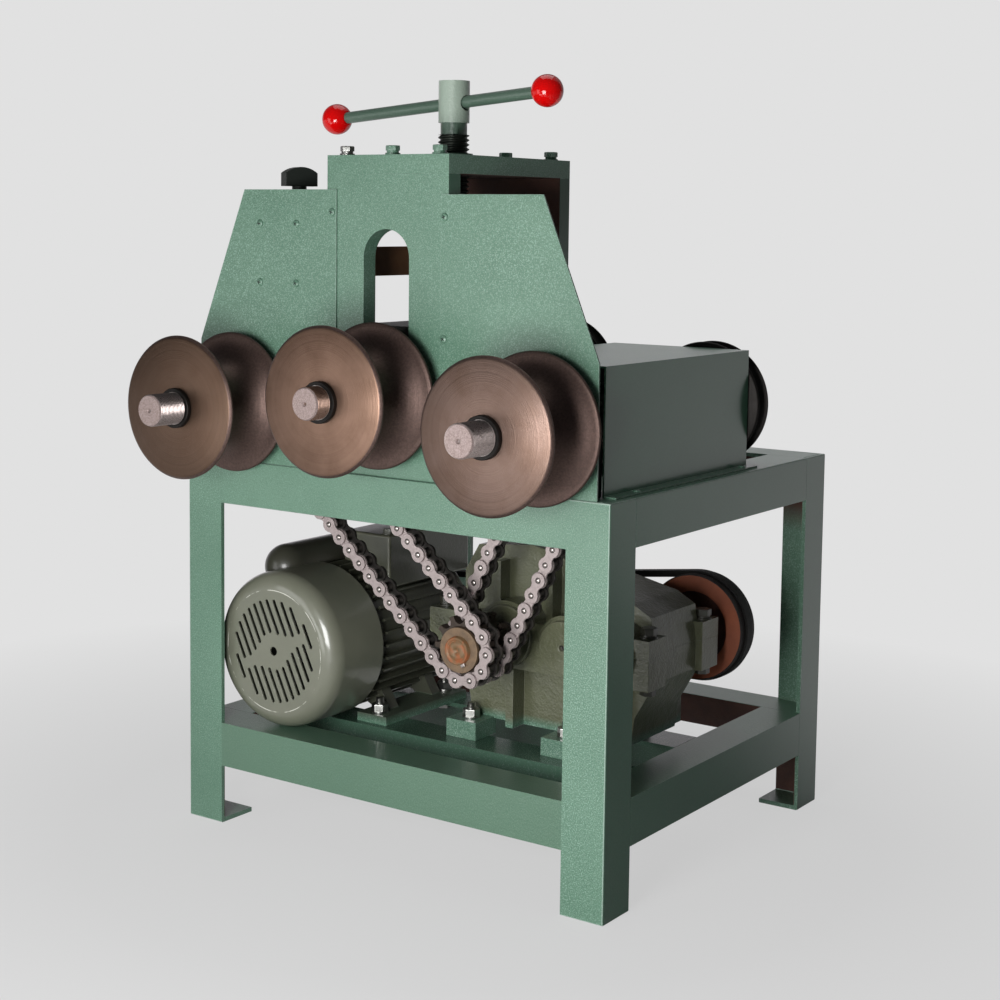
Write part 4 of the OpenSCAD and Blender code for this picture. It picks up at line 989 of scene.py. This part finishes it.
def chain_pins(count, start, stop):
    """Pin centres in x and z round two equal sprockets, from the start's upper tangent point."""
    way = (stop - start).normalized()
    side = Vector((-way.y, way.x))
    run = (count - teeth) / 2
    turn = 2 * pi / teeth
    pins = []
    for i in range(count):
        if i <= run:
            pins.append(start + way * (i * pitch) + side * wrap_radius)
        elif i <= run + teeth / 2:
            swing = (i - run) * turn
            pins.append(stop + (side * cos(swing) + way * sin(swing)) * wrap_radius)
        elif i <= 2 * run + teeth / 2:
            pins.append(start + way * ((2 * run + teeth / 2 - i) * pitch) - side * wrap_radius)
        else:
            swing = (i - 2 * run - teeth / 2) * turn
            pins.append(start - (side * cos(swing) + way * sin(swing)) * wrap_radius)
    return pins


def link_plate(radius, thick):
    """A waisted plate from pin to pin along X, standing on Z = 0 with its upper rim eased."""
    mesh = bmesh.new()
    dips = [(0.36, 0.64), (0.5, 0.58), (0.64, 0.64)]
    outline = arc((0, 0), radius, 62, 298, 9) + [(pitch * s, -radius * h) for s, h in dips]
    outline += arc((pitch, 0), radius, -118, 118, 9)
    outline += [(pitch * s, radius * h) for s, h in reversed(dips)]
    base = mesh.faces.new([mesh.verts.new((x, y, 0)) for x, y in outline])
    raised = bmesh.ops.extrude_face_region(mesh, geom=[base], use_keep_orig=True)["geom"]
    top = [v for v in raised if isinstance(v, bmesh.types.BMVert)]
    bmesh.ops.translate(mesh, verts=top, vec=(0, 0, thick))
    rim = [e for e in mesh.edges if all(v.co.z > thick / 2 for v in e.verts)]
    bevelled(mesh, rim, 0.3 * MM, segments=1, clamp=False)
    bmesh.ops.recalc_face_normals(mesh, faces=mesh.faces)
    return mesh


plate_steel = clouded(
    "chain_plate_steel", {"Metallic": 0.55}, (260, 3.0, 0.6),
    (srgb(180, 168, 166), srgb(146, 134, 133)), (0.36, 0.2), (1500, 2.0, 0.0001, 0.4),
)
# Dark oiled steel for the rollers, and painted shade on the far side's plates.
oiled_and_shaded_steel = clouded(
    "oiled_and_shaded_chain_steel", {"Metallic": 0.7}, (240, 4.0, 0.6),
    (srgb(50, 48, 46), srgb(94, 90, 86)), (0.24, 0.25),
)
outer_plate = link_plate(8.4 * MM, 2.3 * MM)
inner_plate = link_plate(9.0 * MM, 2.3 * MM)
roller = turned(in_mm((3, -6.1), (5.6, -6.1), (5.9, -5.6), (5.9, 5.6), (5.6, 6.1), (3, 6.1)), 14)
rivet = turned(in_mm((0, 12.5), (1.5, 12.35), (2.3, 11.8), (2.5, 11.0)), 12)
rivet_ring = turned(in_mm((2.4, 11.25), (3.3, 11.2), (3.4, 11.0)), 12)
chain_finishes = [plate_steel, oiled_and_shaded_steel, bright_steel]
turned_over = Matrix.Rotation(pi, 4, "X")
for name, roll, count in (("chain_front", "left_die", 50), ("chain_rear", "right_die", 40)):
    low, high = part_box(name)
    plane = (low.y + high.y) / 2
    roll_low, roll_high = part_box(roll)
    start = Vector(((roll_low.x + roll_high.x) / 2, (roll_low.z + roll_high.z) / 2))
    pins = chain_pins(count, start, Vector((drive_axis.x, drive_axis.z)))
    links = bmesh.new()
    for i, pin in enumerate(pins):
        along = pins[(i + 1) % count] - pin
        at_pin = Matrix.Translation((pin.x, plane, pin.y))
        at_pin @= Matrix.Rotation(-atan2(along.y, along.x), 4, "Y") @ Matrix.Rotation(pi / 2, 4, "X")
        plate, off = (outer_plate, 8.75 * MM) if i % 2 else (inner_plate, 6.35 * MM)
        out = Matrix.Translation((0, 0, off))
        add_copy(links, plate, at_pin @ out, 0)
        # The far side's plates take the dark oiled steel: painted shade.
        add_copy(links, plate, at_pin @ turned_over @ out, 1)
        add_copy(links, roller, at_pin, 1)
        for way in (at_pin, at_pin @ turned_over):
            add_copy(links, rivet, way, 2)
            add_copy(links, rivet_ring, way, 1)
    piece("linked_" + name, links, "frame", chain_finishes, [name], even=False)
for node in ("left_sprocket", "right_sprocket"):
    dress(node, oiled_and_shaded_steel)


# The drive sprocket: two toothed rings on one hub, keyed to the reducer's output shaft. Hub
# and shaft end carry a skin of orange rust, and the end of the key is bright.
rust = Finish("rusted_hub", {"Metallic": 0.3})
rust_cloud = rust.noise(130, 6.0, 0.65)
rust_y = rust.axes()[1]
hub_tone = rust.blend(rust.rise(rust_cloud, 0.3, 0.7), srgb(98, 82, 66), srgb(130, 107, 83))
rust.feed({
    "Base Color": rust.blend(rust_y.above(drive_low.y + 4 * MM), hub_tone, srgb(60, 50, 42)),
    "Roughness": 0.5 + 0.25 * rust_cloud,
})
rust.bump(rust.noise(700, 4.0), 0.0005, 0.6)
wheels = softened("drive_sprockets", 0.6 * MM)
piece("rusted_drive_sprockets", wheels, "output", [rust], ["drive_sprockets"])

shaft_rust = Finish("rusted_shaft_end", {})
spot = shaft_rust.rise(shaft_rust.noise(95, 4.0, 0.6), 0.42, 0.58)
behind_end = shaft_rust.axes()[1].above(drive_low.y + 10 * MM)
end_tone = shaft_rust.blend(spot, srgb(118, 94, 66), srgb(148, 88, 52))
shaft_rust.feed({
    "Base Color": shaft_rust.blend(behind_end, end_tone, srgb(150, 144, 138)),
    "Metallic": 0.2 + 0.7 * behind_end,
    "Roughness": 0.45 + 0.2 * spot,
})
shaft_rust.bump(shaft_rust.noise(800, 4.0), 0.0004, 0.6)
shaft = merged_copy("output_shaft")
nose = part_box("output_shaft")[0].y
cap = [f for f in shaft.faces if all(abs(v.co.y - nose) < 0.01 * MM for v in f.verts)]
cap = bmesh.ops.dissolve_faces(shaft, faces=cap)["region"]
faced_rings = ((1.0, 0.7), (2.6, 0), (0.5, -0.8), (0.7, 0), (0.5, 0.8), (6.6, 0), (1.4, -3.0))
for width, rise in faced_rings:
    bmesh.ops.inset_region(
        shaft, faces=cap, thickness=width * MM, depth=rise * MM, use_even_offset=True
    )
bmesh.ops.recalc_face_normals(shaft, faces=shaft.faces)
piece("rusted_output_shaft", shaft, "output", [shaft_rust], ["output_shaft"], even=False)
key = bmesh.new()
bmesh.ops.create_cube(key, size=1, matrix=Matrix.Diagonal((5.5 * MM, 8 * MM, 6.5 * MM, 1)))
bevelled(key, key.edges, 0.8 * MM, clamp=False)
key_turn = radians(-62)
from_shaft = 15 * MM * Vector((cos(key_turn), 0, sin(key_turn)))
key_place = Vector((drive_axis.x, nose + 4.5 * MM, drive_axis.z)) + from_shaft
key.transform(Matrix.Translation(key_place) @ Matrix.Rotation(pi / 2 - key_turn, 4, "Y"))
piece("drive_key", key, "output", [bright_steel])


# The belt drive: a black wrapped V-belt between the motor's pulley and the reducer's pulley, which is
# cast iron in red-oxide primer. Its recessed web is darker as painted shade, and its rim's outer face
# is dark.
belt_rubber = clouded(
    "belt_rubber", {"Specular IOR Level": 0.35}, (900, 2.0),
    (srgb(18, 18, 18), srgb(38, 37, 36)), (0.55, 0.2), (900, 2.0, 0.0004, 0.6),
)
piece("wrapped_v_belt", softened("v_belt", 0.9 * MM), "frame", [belt_rubber], ["v_belt"])
red_oxide = Finish("red_oxide_iron", {"Specular IOR Level": 0.4})
oxide_cloud = red_oxide.noise(50, 5.0, 0.65)
wheel_low, wheel_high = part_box("reducer_pulley")
wheel_x, wheel_z = red_oxide.axes()[::2]
wheel_radius = from_axis(wheel_x, wheel_z, (wheel_low + wheel_high) / 2)
on_rim = wheel_radius.above(40.5 * MM)
rim_tone = red_oxide.blend(oxide_cloud, srgb(166, 92, 63), srgb(120, 70, 52))
# The rim's outer face is made dark.
rim_tone = red_oxide.blend(wheel_radius.above(58.8 * MM), rim_tone, srgb(40, 35, 33))
# The recessed web is darker: painted shade.
web_painted_shade_tone = red_oxide.blend(oxide_cloud, srgb(96, 60, 50), srgb(70, 46, 40))
red_oxide.feed({
    "Base Color": red_oxide.blend(on_rim, web_painted_shade_tone, rim_tone),
    "Roughness": 0.45 + 0.25 * oxide_cloud,
})
red_oxide.bump(red_oxide.noise(600, 4.0), 0.0005, 0.6)
wheel = softened("reducer_pulley", 0.8 * MM)
piece("cast_reducer_pulley", wheel, "input", [red_oxide], ["reducer_pulley"])
wheel = softened("motor_pulley", 0.8 * MM)
piece("cast_motor_pulley", wheel, "rotor", [dark_iron], ["motor_pulley"])
